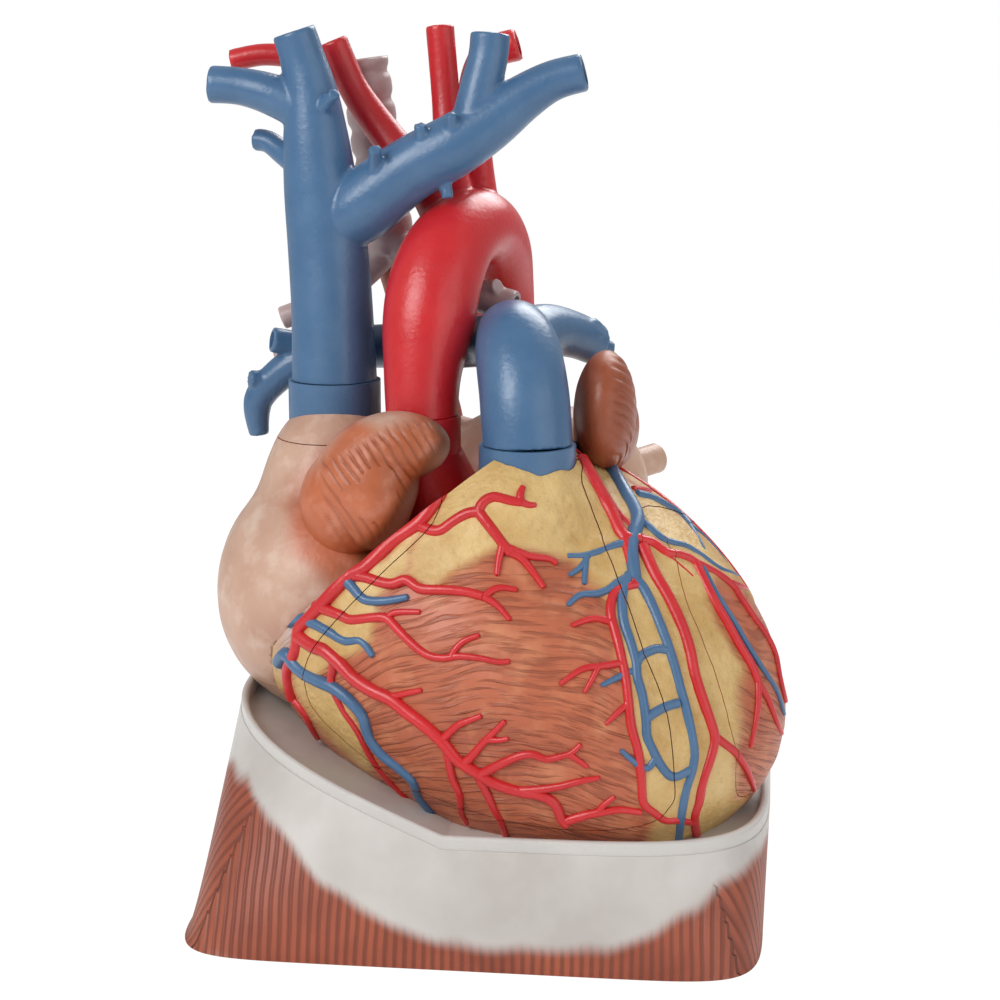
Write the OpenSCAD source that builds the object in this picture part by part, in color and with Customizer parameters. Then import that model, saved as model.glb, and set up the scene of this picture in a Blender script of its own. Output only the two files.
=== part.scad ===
// Take-apart anatomy model of the human heart, about three times life size,
// standing on a block that shows the diaphragm.
//
// Frame: millimetres, +Z up. The origin is the middle of the base's flat underside.
// The front of the heart faces -Y and its apex points to +X, towards the viewer's right.
// Each wall and each group of vessels that lifts off is a piece of its own.

/* [Base] */
// Width of the base along X
base_w = 268; // [240:2:300]
// Depth of the base along Y
base_d = 268; // [240:2:300]
// How square the base's outline is at the floor, as a superellipse's power
base_corner = 9; // [5:0.5:12]
// Wall of the hollow diaphragm block
base_wall = 5; // [3:0.5:8]
// Thickness of the board that closes the base from below
board_t = 6; // [4:0.5:10]
// Gap left round the board inside the block
board_gap = 0.3; // [0.2:0.1:1]
// Height of the level part of the diaphragm's upper face
dome_z = 50; // [45:1:60]
// Rise of the dome's sloping side for each millimetre towards -X
dome_slope = 0.36; // [0.2:0.02:0.4]
// Where the level part ends and the slope starts, along X
dome_crease_x = -10; // [-30:1:10]
// Height of the cut pericardium that stands round the heart
rim_h = 6; // [4:0.5:9]
// Thickness of the cut pericardium
rim_t = 4; // [3:0.5:7]
// Diameter of the screws that hold the board
screw_d = 5; // [3:0.5:8]

/* [Heart muscle] */
// Point on the long axis that the ventricles are shaped about
heart_x = 25; // [15:1:35]
// Depth of that point
heart_y = -15; // [-25:1:-5]
// Height of that point
heart_z = 125; // [115:1:135]
// Angle by which the long axis turns towards the front
heart_yaw = 23; // [15:1:30]
// Angle by which the long axis points down
heart_pitch = 27; // [20:1:35]
// Thickness of the right ventricle's loose wall
right_wall_t = 9; // [6:0.5:12]
// Thickness of the left ventricle's loose wall
left_wall_t = 22; // [16:1:26]
// Thickness of the right atrium's loose wall
atrium_wall_t = 7; // [5:0.5:10]
// Clearance between a loose wall and its seat
seat_gap = 0.4; // [0.3:0.1:1]
// Width of the ledge that carries a loose wall
ledge = 12; // [8:1:18]

/* [Great vessels] */
// Radius of the superior vena cava
cava_r = 21; // [18:0.5:24]
// Radius of the aorta at its root
aorta_r = 17; // [14:0.5:19]
// Radius of the pulmonary trunk
trunk_r = 21; // [18:0.5:24]
// Wall of every hollow vessel
vessel_wall = 2.4; // [1.8:0.2:3.6]
// Depth to which a cut end is hollow
lumen_depth = 13; // [8:1:20]
// Radius of the windpipe
trachea_r = 12.5; // [10:0.5:15]
// Radius of the gullet
gullet_r = 8; // [6:0.5:10]

/* [Coronary vessels] */
// Radius of the coronary trunks in their grooves
coronary_r = 3.2; // [2.4:0.2:4]
// Radius of the branches that run over the loose walls
branch_r = 2; // [1.4:0.2:2.8]

/* [Locating pins] */
// Diameter of the pins that place a loose piece
pin_d = 5; // [4:0.5:7]
// Length of pin that stands out of its seat
pin_h = 4; // [3:0.5:6]
// Clearance of a pin in its hole, on the radius
pin_gap = 0.3; // [0.2:0.1:0.6]

/* [Hidden] */

artery_red = "#D9252A";
vein_blue = "#4A6F94";
muscle_brown = "#B8663F";
atrium_flesh = "#CFAE99";
auricle_orange = "#C46E48";
auricle_brown = "#8F4526";
airway_pink = "#C9B5B3";
tendon_white = "#CDC8C3";
base_brown = "#A8573C";
valve_cream = "#E6D2B4";
board_grey = "#4A4A4A";
steel = "#B8BCC0";

heart_at = [heart_x, heart_y, heart_z];
far = 400;                         // longer than any slide or cut
sides = 12;                        // round a great vessel

// ---- Smooth closed forms: the reach of several ellipsoids from one inner point ----
// An ellipsoid is [centre, radii]. The reach is a blended greatest distance.
function leave(o, d, e) =
    let (p = [for (i = [0:2]) (o[i] - e[0][i]) / e[1][i]],
         q = [for (i = [0:2]) d[i] / e[1][i]],
         root = pow(p * q, 2) - (q * q) * (p * p - 1))
    root < 0 ? 1 : max(1, (-(p * q) + sqrt(root)) / (q * q));
function total(v, i = 0) = i == len(v) ? 0 : v[i] + total(v, i + 1);
blend = 12;
function reach(o, d, form) = pow(total([for (e = form) pow(leave(o, d, e), blend)]), 1 / blend);
function way(a, b) = [cos(a), sin(a) * cos(b), sin(a) * sin(b)];

// A closed skin over rings of points, with a point at each end
module skin(first, rings, last) {
    n = len(rings[0]);
    m = len(rings);
    end = 1 + n * m;
    polyhedron(
        points = [first, for (r = rings) each r, last],
        faces = [
            for (j = [0:n - 1]) [0, 1 + (j + 1) % n, 1 + j],
            for (i = [0:m - 2], j = [0:n - 1])
                let (a = 1 + i * n + j, b = 1 + i * n + (j + 1) % n)
                each [[a, b, a + n], [b, b + n, a + n]],
            for (j = [0:n - 1])
                [end, 1 + (m - 1) * n + j, 1 + (m - 1) * n + (j + 1) % n]],
        convexity = 6);
}

// The form of several ellipsoids seen from point o, drawn in by t
module blob(o, form, t = 0, rows = 22, spokes = 36) {
    step = 180 / rows;
    skin(
        o + (reach(o, way(0, 0), form) - t) * way(0, 0),
        [for (i = [1:rows - 1]) [for (j = [0:spokes - 1])
            let (d = way(i * step, j * 360 / spokes)) o + (reach(o, d, form) - t) * d]],
        o + (reach(o, way(180, 0), form) - t) * way(180, 0));
}

// ---- Tubes along points [x, y, z, radius] ----
function xyz(p) = [p[0], p[1], p[2]];
function unit(v) = v / norm(v);
// Points of a smooth curve through the given ones, three steps to a span
function bow(a, b, c, d, t) =
    0.5 * (2 * b + (c - a) * t + (2 * a - 5 * b + 4 * c - d) * t * t
        + (3 * b - a - 3 * c + d) * t * t * t);
function smooth(p, k = 3) =
    let (n = len(p) - 1)
    [for (i = [0:n - 1], s = [0:k - 1])
        bow(p[max(i - 1, 0)], p[i], p[i + 1], p[min(i + 2, n)], s / k), p[n]];
function heading(p, i) = unit(xyz(p[min(i + 1, len(p) - 1)]) - xyz(p[max(i - 1, 0)]));

// A ring of n points about p, square to d. No tube runs along its own lean direction.
function hoop(p, d, n, lean) =
    let (u = unit(cross(lean, d)), v = cross(d, u))
    [for (j = [0:n - 1]) let (a = j * 360 / n) xyz(p) + p[3] * (cos(a) * u - sin(a) * v)];
// A tube swept along a smooth curve through the points
module limb(points, n = sides, k = 2, lean = [0, 1, 0]) {
    p = k == 1 ? points : smooth(points, k);
    end = len(p) - 1;
    skin(xyz(p[0]), [for (i = [0:end]) hoop(p[i], heading(p, i), n, lean)], xyz(p[end]));
}
// The hollow in a cut end: the tube's end point and the next one inwards
module lumen(end, inner, deep = lumen_depth) {
    d = unit(xyz(inner) - xyz(end));
    translate(xyz(end) - d) rotate([0, acos(d[2]), atan2(d[1], d[0])]) hull() {
        cylinder(h = 1, r = end[3] - vessel_wall, $fn = 12);
        translate([0, 0, deep]) cylinder(h = 1, r = (end[3] - vessel_wall) * 0.8, $fn = 12);
    }
}
// A small cut branch, from its root inside the vessel to its tip
module nub(from, to, r) {
    d = unit(to - from);
    translate(from) rotate([0, acos(d[2]), atan2(d[1], d[0])]) hull() {
        cylinder(h = 1, r = r * 1.5, $fn = 8);
        translate([0, 0, norm(to - from) - 1]) cylinder(h = 1, r = r, $fn = 8);
    }
}

// ---- Ventricles ----
// The heart's own axes: x along the long axis towards the apex
module in_heart() translate(heart_at) rotate([0, heart_pitch, -heart_yaw]) children();
ventricle_form = [
    [[0, 10, 0], [126, 78, 82]],       // left ventricle
    [[-5, -25, -15], [125, 75, 78]],   // right ventricle
    [[-30, -25, 25], [50, 50, 68]],    // outflow cone below the pulmonary trunk
    [[-50, -30, -28], [72, 62, 62]]];  // right ventricle's margin beside the groove
groove_at = -67;                       // groove between atria and ventricles, on the long axis
groove_tilt = 20;                      // turn of the groove's plane, top towards the apex
module ventricles(t = 0) {
    in_heart() intersection() {
        blob([0, 0, 0], ventricle_form, t, 15, 24);
        rotate([0, groove_tilt, 0]) translate([groove_at + t, -far / 2, -far / 2]) cube(far);
    }
}
function to_heart(p) =
    let (cy = cos(-heart_yaw), sy = sin(-heart_yaw), cp = cos(heart_pitch), sp = sin(heart_pitch),
         q = [cy * p[0] + sy * p[1], -sy * p[0] + cy * p[1], p[2]])
    [cp * q[0] - sp * q[2], q[1], sp * q[0] + cp * q[2]];
function in_ventricles(p, t) =
    let (q = to_heart(p - heart_at)) norm(q) < reach([0, 0, 0], q / norm(q), ventricle_form) - t;
// What stays fixed behind a loose wall of thickness t: the form drawn in by t, and its
// sweep away from the way that the wall slides
module core(t, yaw) hull() for (back = [0, far / 2])
    rotate([0, 0, yaw]) translate([0, back, 0]) rotate([0, 0, -yaw])
        in_heart() blob([0, 0, 0], ventricle_form, t, 9, 16);
// Depth at [across, z] of the ventricles' face drawn in by t, seen along the slide that yaw turns
function turned(p, yaw) =
    [cos(yaw) * p[0] - sin(yaw) * p[1], sin(yaw) * p[0] + cos(yaw) * p[1], p[2]];
function face_y(u, z, yaw = 0, t = 0, near = -150, deep = -10, n = 12) =
    let (m = (near + deep) / 2)
    n == 0 ? m
        : in_ventricles(turned([u, m, z], yaw), t) ? face_y(u, z, yaw, t, near, m, n - 1)
        : face_y(u, z, yaw, t, m, deep, n - 1);

// A coronary vessel on the ventricles' face, through points [x, z] of the front view
module relief(line, r) {
    at = [for (p = line) [p[0], face_y(p[0], p[1]), p[1]]];
    for (i = [0:len(at) - 2]) hull() {
        bead(at[i], r);
        bead(at[i + 1], r);
    }
}
module bead(p, r) {
    d = unit(p - heart_at);
    translate(p - 2 * d) rotate([0, acos(d[2]), atan2(d[1], d[0])])
        cylinder(h = 2 + 0.7 * r, r1 = r * 1.4, r2 = r * 0.7, $fn = 4);
}

// ---- Coronary vessels, read along the front view ----
right_coronary = [[-18, 201], [-25, 190], [-39, 180], [-57, 165], [-76, 145], [-84, 130],
    [-90, 115], [-89, 105], [-83, 95]];
left_coronary = [[45, 211], [54, 197], [64, 183], [74, 178], [87, 158], [100, 127], [111, 98],
    [105, 80], [103, 60]];
cardiac_vein = [[53, 204], [72, 188], [71, 166], [81, 153], [89, 136], [96, 116], [101, 94],
    [97, 73], [95, 58]];
right_wall_branches = [
    [[-25, 188], [-15, 188], [-3, 196], [8, 203], [22, 201]],
    [[3, 195], [13, 184], [22, 177]],
    [[-43, 164], [-30, 166], [-12, 164], [7, 162], [21, 165]],
    [[7, 162], [19, 152]],
    [[-55, 147], [-38, 150], [-18, 136], [6, 137], [20, 136]],
    [[-72, 128], [-61, 127], [-44, 117], [-28, 109], [-9, 96], [5, 85], [25, 78], [40, 68]],
    [[-9, 96], [2, 110], [8, 112]],
    [[2, 88], [13, 105], [19, 111]],
    [[6, 85], [24, 95], [48, 98], [56, 91]],
    [[25, 79], [43, 82], [61, 87]],
    [[-61, 126], [-60, 105], [-45, 80]],
    [[63, 161], [68, 139], [74, 108], [79, 74]],
    [[68, 139], [55, 134], [46, 128]]];
left_wall_branches = [
    [[91, 172], [108, 152], [128, 117], [128, 98]],
    [[128, 117], [138, 96]],
    [[102, 166], [118, 151], [135, 124]],
    [[94, 174], [112, 160], [131, 138]]];
module reliefs(lines, r) for (line = lines) relief(line, r);

// ---- Outlines of the loose walls, as [across, z], seen along the way each one slides ----
right_wall_yaw = 0;
right_wall_line = [[-8, 216], [-19, 191], [-42, 168], [-61, 148], [-74, 132], [-80, 118],
    [-78, 101], [-64, 88], [-45, 75], [-24, 67], [13, 61], [43, 59], [78, 61], [91, 70],
    [93, 81], [89, 112], [78, 138], [68, 161], [63, 170], [53, 190], [46, 206], [40, 216]];
left_wall_yaw = 50;
left_wall_line = [[22, 191], [19, 176], [11, 156], [10, 139], [12, 106], [15, 90], [20, 68],
    [40, 62], [64, 70], [80, 92], [84, 125], [76, 156], [54, 182]];
atrium_wall_yaw = -50;
atrium_wall_line = [[-125, 99], [-125, 216], [-20, 216], [-6, 200], [4, 178], [6, 150],
    [0, 112], [-30, 100]];

// Depths, seen along the slides, at which the loose walls end behind
right_wall_back = -12;
left_wall_back = 8;
atrium_wall_back = -46;
// An outline drawn out towards the viewer of that slide, grown by g, from depth back
module along(line, yaw, back, g = 0) {
    rotate([0, 0, yaw]) translate([0, back + g, 0]) rotate([90, 0, 0])
        linear_extrude(far) offset(delta = g) polygon(line);
}

// ---- Atria ----
right_atrium_at = [-78, 0, 150];
right_atrium_form = [
    [[-80, 0, 140], [58, 60, 62]],     // main chamber
    [[-80, 5, 185], [36, 38, 50]]];    // neck below the superior vena cava
module right_atrium(t = 0) blob(right_atrium_at, right_atrium_form, t, 10, 18);
module atrium_core(t) hull() for (back = [0, far / 2])
    rotate([0, 0, atrium_wall_yaw]) translate([0, back, 0]) rotate([0, 0, -atrium_wall_yaw])
        blob(right_atrium_at, right_atrium_form, t, 8, 14);
left_atrium_at = [15, 60, 185];
left_atrium_form = [[[15, 60, 185], [56, 38, 40]]];
module left_atrium(t = 0) blob(left_atrium_at, left_atrium_form, t, 8, 12);
auricle_at = [-46, -49, 210];
auricle_form = [
    [[-40, -46, 221], [24, 20, 16]],
    [[-50, -51, 200], [17, 20, 28]],
    [[-66, -40, 192], [22, 20, 26]]];
// The auricle with the ridges of its comb-like muscle, which run down to the front
ridges = 8;
module right_auricle() {
    blob(auricle_at, auricle_form, 0, 10, 14);
    for (i = [0:ridges - 1]) hull() {
        ridge_end(i / (ridges - 1), [-62, -56, 222], [-55, -60, 184]);
        ridge_end(i / (ridges - 1), [-31, -60, 224], [-45, -67, 182]);
    }
}
module ridge_end(t, a, b) translate(a + t * (b - a)) rotate([90, 0, 0])
    cylinder(h = 4, r1 = 2, r2 = 0.8, center = true, $fn = 5);
left_auricle_at = [53, 4, 228];
left_auricle_form = [
    [[53, -2, 232], [15, 26, 29]],
    [[52, 22, 220], [16, 30, 22]]];

module fold_end(p) translate(p) sphere(r = 2.5, $fn = 4);
// Everything above the diaphragm's face
module above_dome(lift = 0) {
    translate([0, far / 2, lift]) rotate([90, 0, 0]) linear_extrude(far) polygon([
        [-far, dome_z + dome_slope * (dome_crease_x + far)], [dome_crease_x, dome_z],
        [far, dome_z], [far, far * 2], [-far, far * 2]]);
}

// ---- Base ----
// Outline of the block at height z: a rounded box, drawn in towards the top at -X and -Y
base_top_z = 95;
function base_ring(z, inset, n = 48) =
    let (t = max(0, min(1, z / base_top_z)),
         left = base_w / 2 - inset - 11 * pow(t, 0.6),
         right = base_w / 2 - inset + 4 * t,
         front = base_d / 2 - inset - 40 * pow(t, 1.3),
         back = base_d / 2 - inset - 12 * t,
         power = base_corner - (base_corner - 3) * pow(t, 0.7))
    [for (j = [0:n - 1])
        let (a = -j * 360 / n, c = cos(a), s = sin(a),
             k = pow(pow(abs(c), power) + pow(abs(s), power), -1 / power))
        [k * c * (c > 0 ? right : left), k * s * (s > 0 ? back : front), z]];
module base_form(inset, floor_z) {
    levels = [floor_z, 15, 35, 60, 80, base_top_z + 10];
    skin([0, 0, floor_z], [for (z = levels) base_ring(z, inset)], [0, 0, base_top_z + 10]);
}

module base_board() {
    color(board_grey) intersection() {
        base_form(base_wall + board_gap, 0);
        difference() {
            translate([-far / 2, -far / 2, 0]) cube([far, far, board_t]);
            for (p = screw_places) translate(p) {
                translate([0, 0, -1]) cylinder(h = far, d = screw_d + 0.4, $fn = 24);
                translate([0, 0, -1])
                    cylinder(h = screw_head_h + 1.2, r = screw_head_r + 0.2, $fn = 32);
            }
        }
    }
}

// Screws go up through the board into a post at each corner of the block
screw_in = 34;                     // from the block's sides to a screw
screw_head_r = 4.6;
screw_head_h = 3;
screw_l = 20;
post_r = 9;
screw_places = [for (x = [-1, 1], y = [-1, 1])
    [x * (base_w / 2 - screw_in), y * (base_d / 2 - screw_in - 6), 0]];
module board_screws() {
    color(steel) for (p = screw_places) translate(p) {
        translate([0, 0, 0.2]) cylinder(h = screw_head_h, r = screw_head_r, $fn = 32);
        cylinder(h = screw_l, d = screw_d, $fn = 24);
    }
}

module diaphragm_block() {
    color(base_brown) difference() {
        intersection() {
            base_form(0, 0);
            difference() {
                translate([-far / 2, -far / 2, 0]) cube(far);
                above_dome();
            }
        }
        difference() {
            intersection() {
                base_form(base_wall, -1);
                difference() {
                    translate([-far / 2, -far / 2, -1]) cube(far);
                    above_dome(-base_wall);
                }
            }
            for (p = screw_places) translate(p + [0, 0, board_t])
                cylinder(h = far, r = post_r, $fn = 24);
        }
        for (p = screw_places) translate(p)
            cylinder(h = screw_l + 2, d = screw_d + 0.1, $fn = 24);
    }
}

module rim_ring(inset) {
    linear_extrude(far) polygon([for (p = base_ring(60, inset)) [p[0], p[1]]]);
}
module pericardium_rim() {
    color(tendon_white) difference() {
        intersection() {
            rim_ring(0.5);
            above_dome();
        }
        rim_ring(rim_t + 0.5);
        above_dome(rim_h);
    }
}

// ---- Heart ----
septum_form = [[[4, 14, 4], [106, 52, 58]]];
left_chamber = [[4, 14, 6], [86, 34, 40]];
left_atrium_chamber = [[15, 58, 186], [38, 22, 24]];
// The two valves between atria and ventricles: [middle, way the blood goes], heart's own axes
tricuspid = [[-70, -53, -25], [1, 0.1, 0.05]];
mitral = [[-58, 42, 24], [0.46, -0.76, -0.45]];
tricuspid_r = 14;
mitral_r = 12;
leaflet_t = 1.2;

module ellipsoid(e) translate(e[0]) scale(e[1]) hull() sphere(r = 1, $fn = 13);

// Room for a loose wall, in front of its ledge
module wall_seat(line, yaw, back, wall_t) {
    difference() {
        along(line, yaw, back, seat_gap);
        core(wall_t + seat_gap, yaw);
    }
}
module right_chamber() {
    difference() {
        intersection() {
            along(right_wall_line, right_wall_yaw, -20, -ledge);
            core(right_wall_t, right_wall_yaw);
        }
        in_heart() blob([0, 0, 0], septum_form, 0, 8, 14);
    }
}
module left_chamber_space() {
    in_heart() ellipsoid(left_chamber);
    intersection() {
        along(left_wall_line, left_wall_yaw, 20, -ledge);
        difference() {
            core(left_wall_t, left_wall_yaw);
            translate(heart_at) rotate([0, 0, left_wall_yaw]) translate([-far / 2, -20, -far / 2])
                cube(far);
        }
    }
}

pulmonary_vein_runs = [
    [[50, 82, 186, 9], [64, 98, 188, 8], [72, 108, 189, 8]],
    [[50, 84, 164, 9], [64, 100, 162, 8], [72, 110, 161, 8]],
    [[-12, 84, 200, 9], [-40, 96, 206, 8], [-52, 100, 208, 8]],
    [[-12, 84, 178, 9], [-42, 96, 179, 8], [-54, 99, 179, 8]]];

aorta_seam = [-33, -20, 231];
trunk_seam = [20, -42, 222];
cava_seam = [-81, 10, 243];
aorta_low = 214;                   // feet of the three roots
trunk_low = 207;
cava_low = 218;
root_step = 1.6;                   // a root stands this much proud of the vessel on it
root_gap = 0.2;                    // and has this much room in its pocket

module below_dome() {
    difference() {
        translate([-far / 2, -far / 2, -1]) cube(far);
        above_dome();
    }
}
// Neck that carries the root of the aorta
module aortic_neck(g = 0)
    limb([[-20, -8, 170, 24 + g], [-33, -20, 213, aorta_r + 1 + g]], 12, 1);
module fixed_ventricles() {
    difference() {
        union() {
            ventricles();
            relief(right_coronary, coronary_r);
            relief(left_coronary, coronary_r);
            relief(cardiac_vein, coronary_r);
            aortic_neck();
        }
        wall_seat(right_wall_line, right_wall_yaw, right_wall_back, right_wall_t);
        wall_seat(left_wall_line, left_wall_yaw, left_wall_back, left_wall_t);
        right_chamber();
        left_chamber_space();
        pin_set(right_wall_pins, right_wall_yaw, right_wall_t, pin_fit);
        pin_set(left_wall_pins, left_wall_yaw, left_wall_t, pin_fit);
    }
}
module fixed_atria() {
    difference() {
        union() {
            right_atrium();
            left_atrium();
            for (run = pulmonary_vein_runs) limb(run, 10, 1, [0, 0, 1]);
        }
        difference() {
            along(atrium_wall_line, atrium_wall_yaw, atrium_wall_back, seat_gap);
            atrium_core(atrium_wall_t + seat_gap);
        }
        intersection() {
            along(atrium_wall_line, atrium_wall_yaw, 0, -ledge);
            right_atrium(atrium_wall_t);
        }
        intersection() {
            along(atrium_wall_line, atrium_wall_yaw, atrium_wall_back + ledge - 2, -ledge);
            atrium_core(atrium_wall_t - 1);
        }
        for (run = pulmonary_vein_runs) lumen(run[2], run[1], 9);
    }
}
module heart_body() {
    color(muscle_brown) difference() {
        union() {
            fixed_ventricles();
            fixed_atria();
        }
        below_dome();
        root_pockets(root_gap);
        ellipsoid(left_atrium_chamber);
        in_valve(tricuspid) cylinder(h = 44, r = tricuspid_r + root_gap, center = true, $fn = 24);
        in_valve(mitral) cylinder(h = 40, r = mitral_r + root_gap, center = true, $fn = 24);
    }
}
module in_valve(v) {
    d = unit(v[1]);
    in_heart() translate(v[0]) rotate([0, acos(d[2]), atan2(d[1], d[0])]) children();
}
// Room for the roots of the three great vessels
module root_pocket(seam, low, r, gap) {
    translate([seam[0], seam[1], low]) cylinder(h = far, r = r + root_step + gap, $fn = 32);
}
module root_pockets(gap) {
    root_pocket(aorta_seam, aorta_low, aorta_r, gap);
    root_pocket(trunk_seam, trunk_low, trunk_r, gap);
    root_pocket(cava_seam, cava_low, cava_r, gap);
}
// A root's pocket, open towards the back so that a wall can leave to the front
module open_pocket(seam, low, r) hull() for (back = [0, far / 2])
    translate([0, back, 0]) root_pocket(seam, low - seat_gap, r, seat_gap);
module right_ventricle_wall() {
    color(muscle_brown) difference() {
        intersection() {
            union() {
                ventricles();
                reliefs(right_wall_branches, branch_r);
            }
            along(right_wall_line, right_wall_yaw, right_wall_back);
        }
        core(right_wall_t, right_wall_yaw);
        open_pocket(trunk_seam, trunk_low, trunk_r);
        open_pocket(aorta_seam, aorta_low, aorta_r);
        pin_set(right_wall_pins, right_wall_yaw, right_wall_t, pin_gap);
    }
}

module left_ventricle_wall() {
    color(muscle_brown) difference() {
        intersection() {
            union() {
                ventricles();
                reliefs(left_wall_branches, branch_r);
            }
            along(left_wall_line, left_wall_yaw, left_wall_back);
        }
        core(left_wall_t, left_wall_yaw);
        hull() for (back = [0, far / 2]) rotate([0, 0, left_wall_yaw]) translate([0, back, 0])
            rotate([0, 0, -left_wall_yaw]) left_atrium(-seat_gap);
        along(right_wall_line, right_wall_yaw, right_wall_back, seat_gap);
        pin_set(left_wall_pins, left_wall_yaw, left_wall_t, pin_gap);
    }
}

module right_atrium_wall() {
    color(atrium_flesh) {
        difference() {
            intersection() {
                right_atrium();
                along(atrium_wall_line, atrium_wall_yaw, atrium_wall_back);
            }
            atrium_core(atrium_wall_t);
            ventricles(-1);
            aortic_neck(seat_gap);
            root_pockets(seat_gap);
        }
        difference() {
            right_auricle();
            atrium_core(atrium_wall_t);
            ventricles(-1);
            aortic_neck(seat_gap);
            clear_of_roots();
        }
    }
}
module clear_of_roots() {
    root_pocket(aorta_seam, 150, aorta_r, 3 * seat_gap);
    root_pocket(trunk_seam, 150, trunk_r, 3 * seat_gap);
    root_pocket(cava_seam, cava_low, cava_r, seat_gap);
}

module left_auricle() {
    color(auricle_brown) difference() {
        union() {
            blob(left_auricle_at, left_auricle_form, 0, 10, 14);
            // folds of its wall
            for (i = [0:7]) hull() {
                fold_end([50 + i * 2, -24 + i * 2, 250 - i * 5]);
                fold_end([64, -14 + i, 246 - i * 5]);
            }
        }
        left_atrium(-seat_gap);
        ventricles(-seat_gap);
    }
}

// ---- Great vessels ----
seam_gap = 0.4;
// What is cut away below a vessel that stands on a level seam
module under(seam) translate(seam - [35, 35, 40 - seam_gap]) cube([70, 70, 40]);
arch_seam = [-5, 83, 262];         // where the arch stands on the descending aorta

cava_run = [[-81, 10, 240, cava_r], [-82, 12, 275, 20], [-84, 14, 305, 19.5], [-87, 14, 335, 18],
    [-89, 14, 358, 16], [-91, 14, 380, 13], [-95, 14, 397, 11], [-99, 13, 410, 10.5]];
right_subclavian_vein = [[-92, 14, 372, 11], [-110, 14, 380, 10], [-126, 15, 384, 9],
    [-141, 15, 385, 9]];
azygos_vein = [[-96, 18, 345, 7], [-108, 26, 352, 6], [-116, 30, 357, 5.5], [-123, 32, 358, 5.5]];
left_brachiocephalic_vein = [[-84, 13, 315, 12.5], [-68, 11, 326, 17], [-44, 7, 344, 15.5],
    [-22, 6, 356, 15], [-4, 7, 367, 13], [12, 9, 379, 11], [26, 10, 387, 9.5], [41, 10, 391, 9]];
left_jugular_vein = [[-12, 6, 364, 11], [-8, 8, 384, 10], [-5, 11, 398, 9.5], [-4, 12, 409, 9.5]];
thyroid_vein = [[-76, 4, 372, 3], [-82, 4, 380, 3], [-84, 6, 386, 3]];

module superior_vena_cava() {
    color(vein_blue) difference() {
        union() {
            limb(cava_run);
            limb(right_subclavian_vein, 10, 1);
            limb(azygos_vein, 8, 2, [0, 0, 1]);
            limb(left_brachiocephalic_vein);
            limb(left_jugular_vein, 10, 1);
            nub([-86, 8, 372], [-76, -4, 381], 3);
            nub([-58, 2, 340], [-56, -10, 356], 3.2);
            nub([-34, 0, 350], [-35, -6, 367], 3.2);
            nub([-20, 0, 356], [-20, -8, 372], 3);
            nub([-27, 5, 350], [-23, 1, 332], 3);
        }
        under(cava_seam);
        lumen(cava_run[0], cava_run[1]);
        lumen(cava_run[7], cava_run[6]);
        lumen(right_subclavian_vein[3], right_subclavian_vein[2]);
        lumen(azygos_vein[3], azygos_vein[2], 6);
        lumen(left_brachiocephalic_vein[7], left_brachiocephalic_vein[6]);
        lumen(left_jugular_vein[3], left_jugular_vein[2]);
    }
}

module vessel_root(seam, low, r) {
    difference() {
        translate([seam[0], seam[1], low]) cylinder(h = seam[2] - low, r = r, $fn = 48);
        translate([seam[0], seam[1], low - 1]) cylinder(h = far, r = r - vessel_wall, $fn = 48);
    }
}
module cava_root() color(vein_blue) vessel_root(cava_seam, cava_low, cava_r + root_step);
module aortic_root() color(artery_red) vessel_root(aorta_seam, aorta_low, aorta_r + root_step);
module pulmonary_root() color(vein_blue) vessel_root(trunk_seam, trunk_low, trunk_r + root_step);

aorta_run = [[-33, -20, 228, aorta_r], [-33, -17, 250, 18.5], [-31, -10, 275, 22],
    [-28, 0, 296, 22], [-21, 16, 312, 20], [-12, 38, 316, 18], [-7, 60, 304, 17],
    [-6, 76, 284, 16], [-5, 83, 256, 15]];
brachiocephalic_artery = [[-26, 16, 318, 10], [-41, 36, 338, 9], [-60, 44, 360, 8.5],
    [-76, 46, 382, 7.5], [-86, 44, 406, 7]];
right_subclavian_artery = [[-78, 45, 386, 6], [-98, 48, 396, 6], [-120, 47, 399, 5.5],
    [-138, 46, 396, 5.5]];
left_carotid_artery = [[-20, 26, 322, 9], [-27, 36, 350, 7.5], [-30, 42, 380, 7],
    [-33, 44, 413, 7]];
left_subclavian_artery = [[-12, 42, 322, 9], [-16, 50, 350, 8], [-18, 54, 378, 8],
    [-12, 58, 398, 8], [4, 58, 404, 8]];

module aorta() {
    color(artery_red) difference() {
        union() {
            limb(aorta_run, sides, 2, [1, 0, 0]);
            limb(brachiocephalic_artery, 10);
            limb(right_subclavian_artery, 8, 1);
            limb(left_carotid_artery, 10, 1);
            limb(left_subclavian_artery, 10);
            // flared origins of the branches
            nub([-24, 17, 312], [-35, 30, 330], 9);
            nub([-19, 24, 314], [-24, 32, 336], 8);
            nub([-12, 40, 310], [-14, 46, 336], 8.5);
        }
        under(aorta_seam);
        under(arch_seam);
        lumen(aorta_run[0], aorta_run[1]);
        lumen(aorta_run[8], aorta_run[7], lumen_depth + 6);
        lumen(brachiocephalic_artery[4], brachiocephalic_artery[3]);
        lumen(right_subclavian_artery[3], right_subclavian_artery[2]);
        lumen(left_carotid_artery[3], left_carotid_artery[2]);
        lumen(left_subclavian_artery[4], left_subclavian_artery[3]);
    }
}

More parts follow.
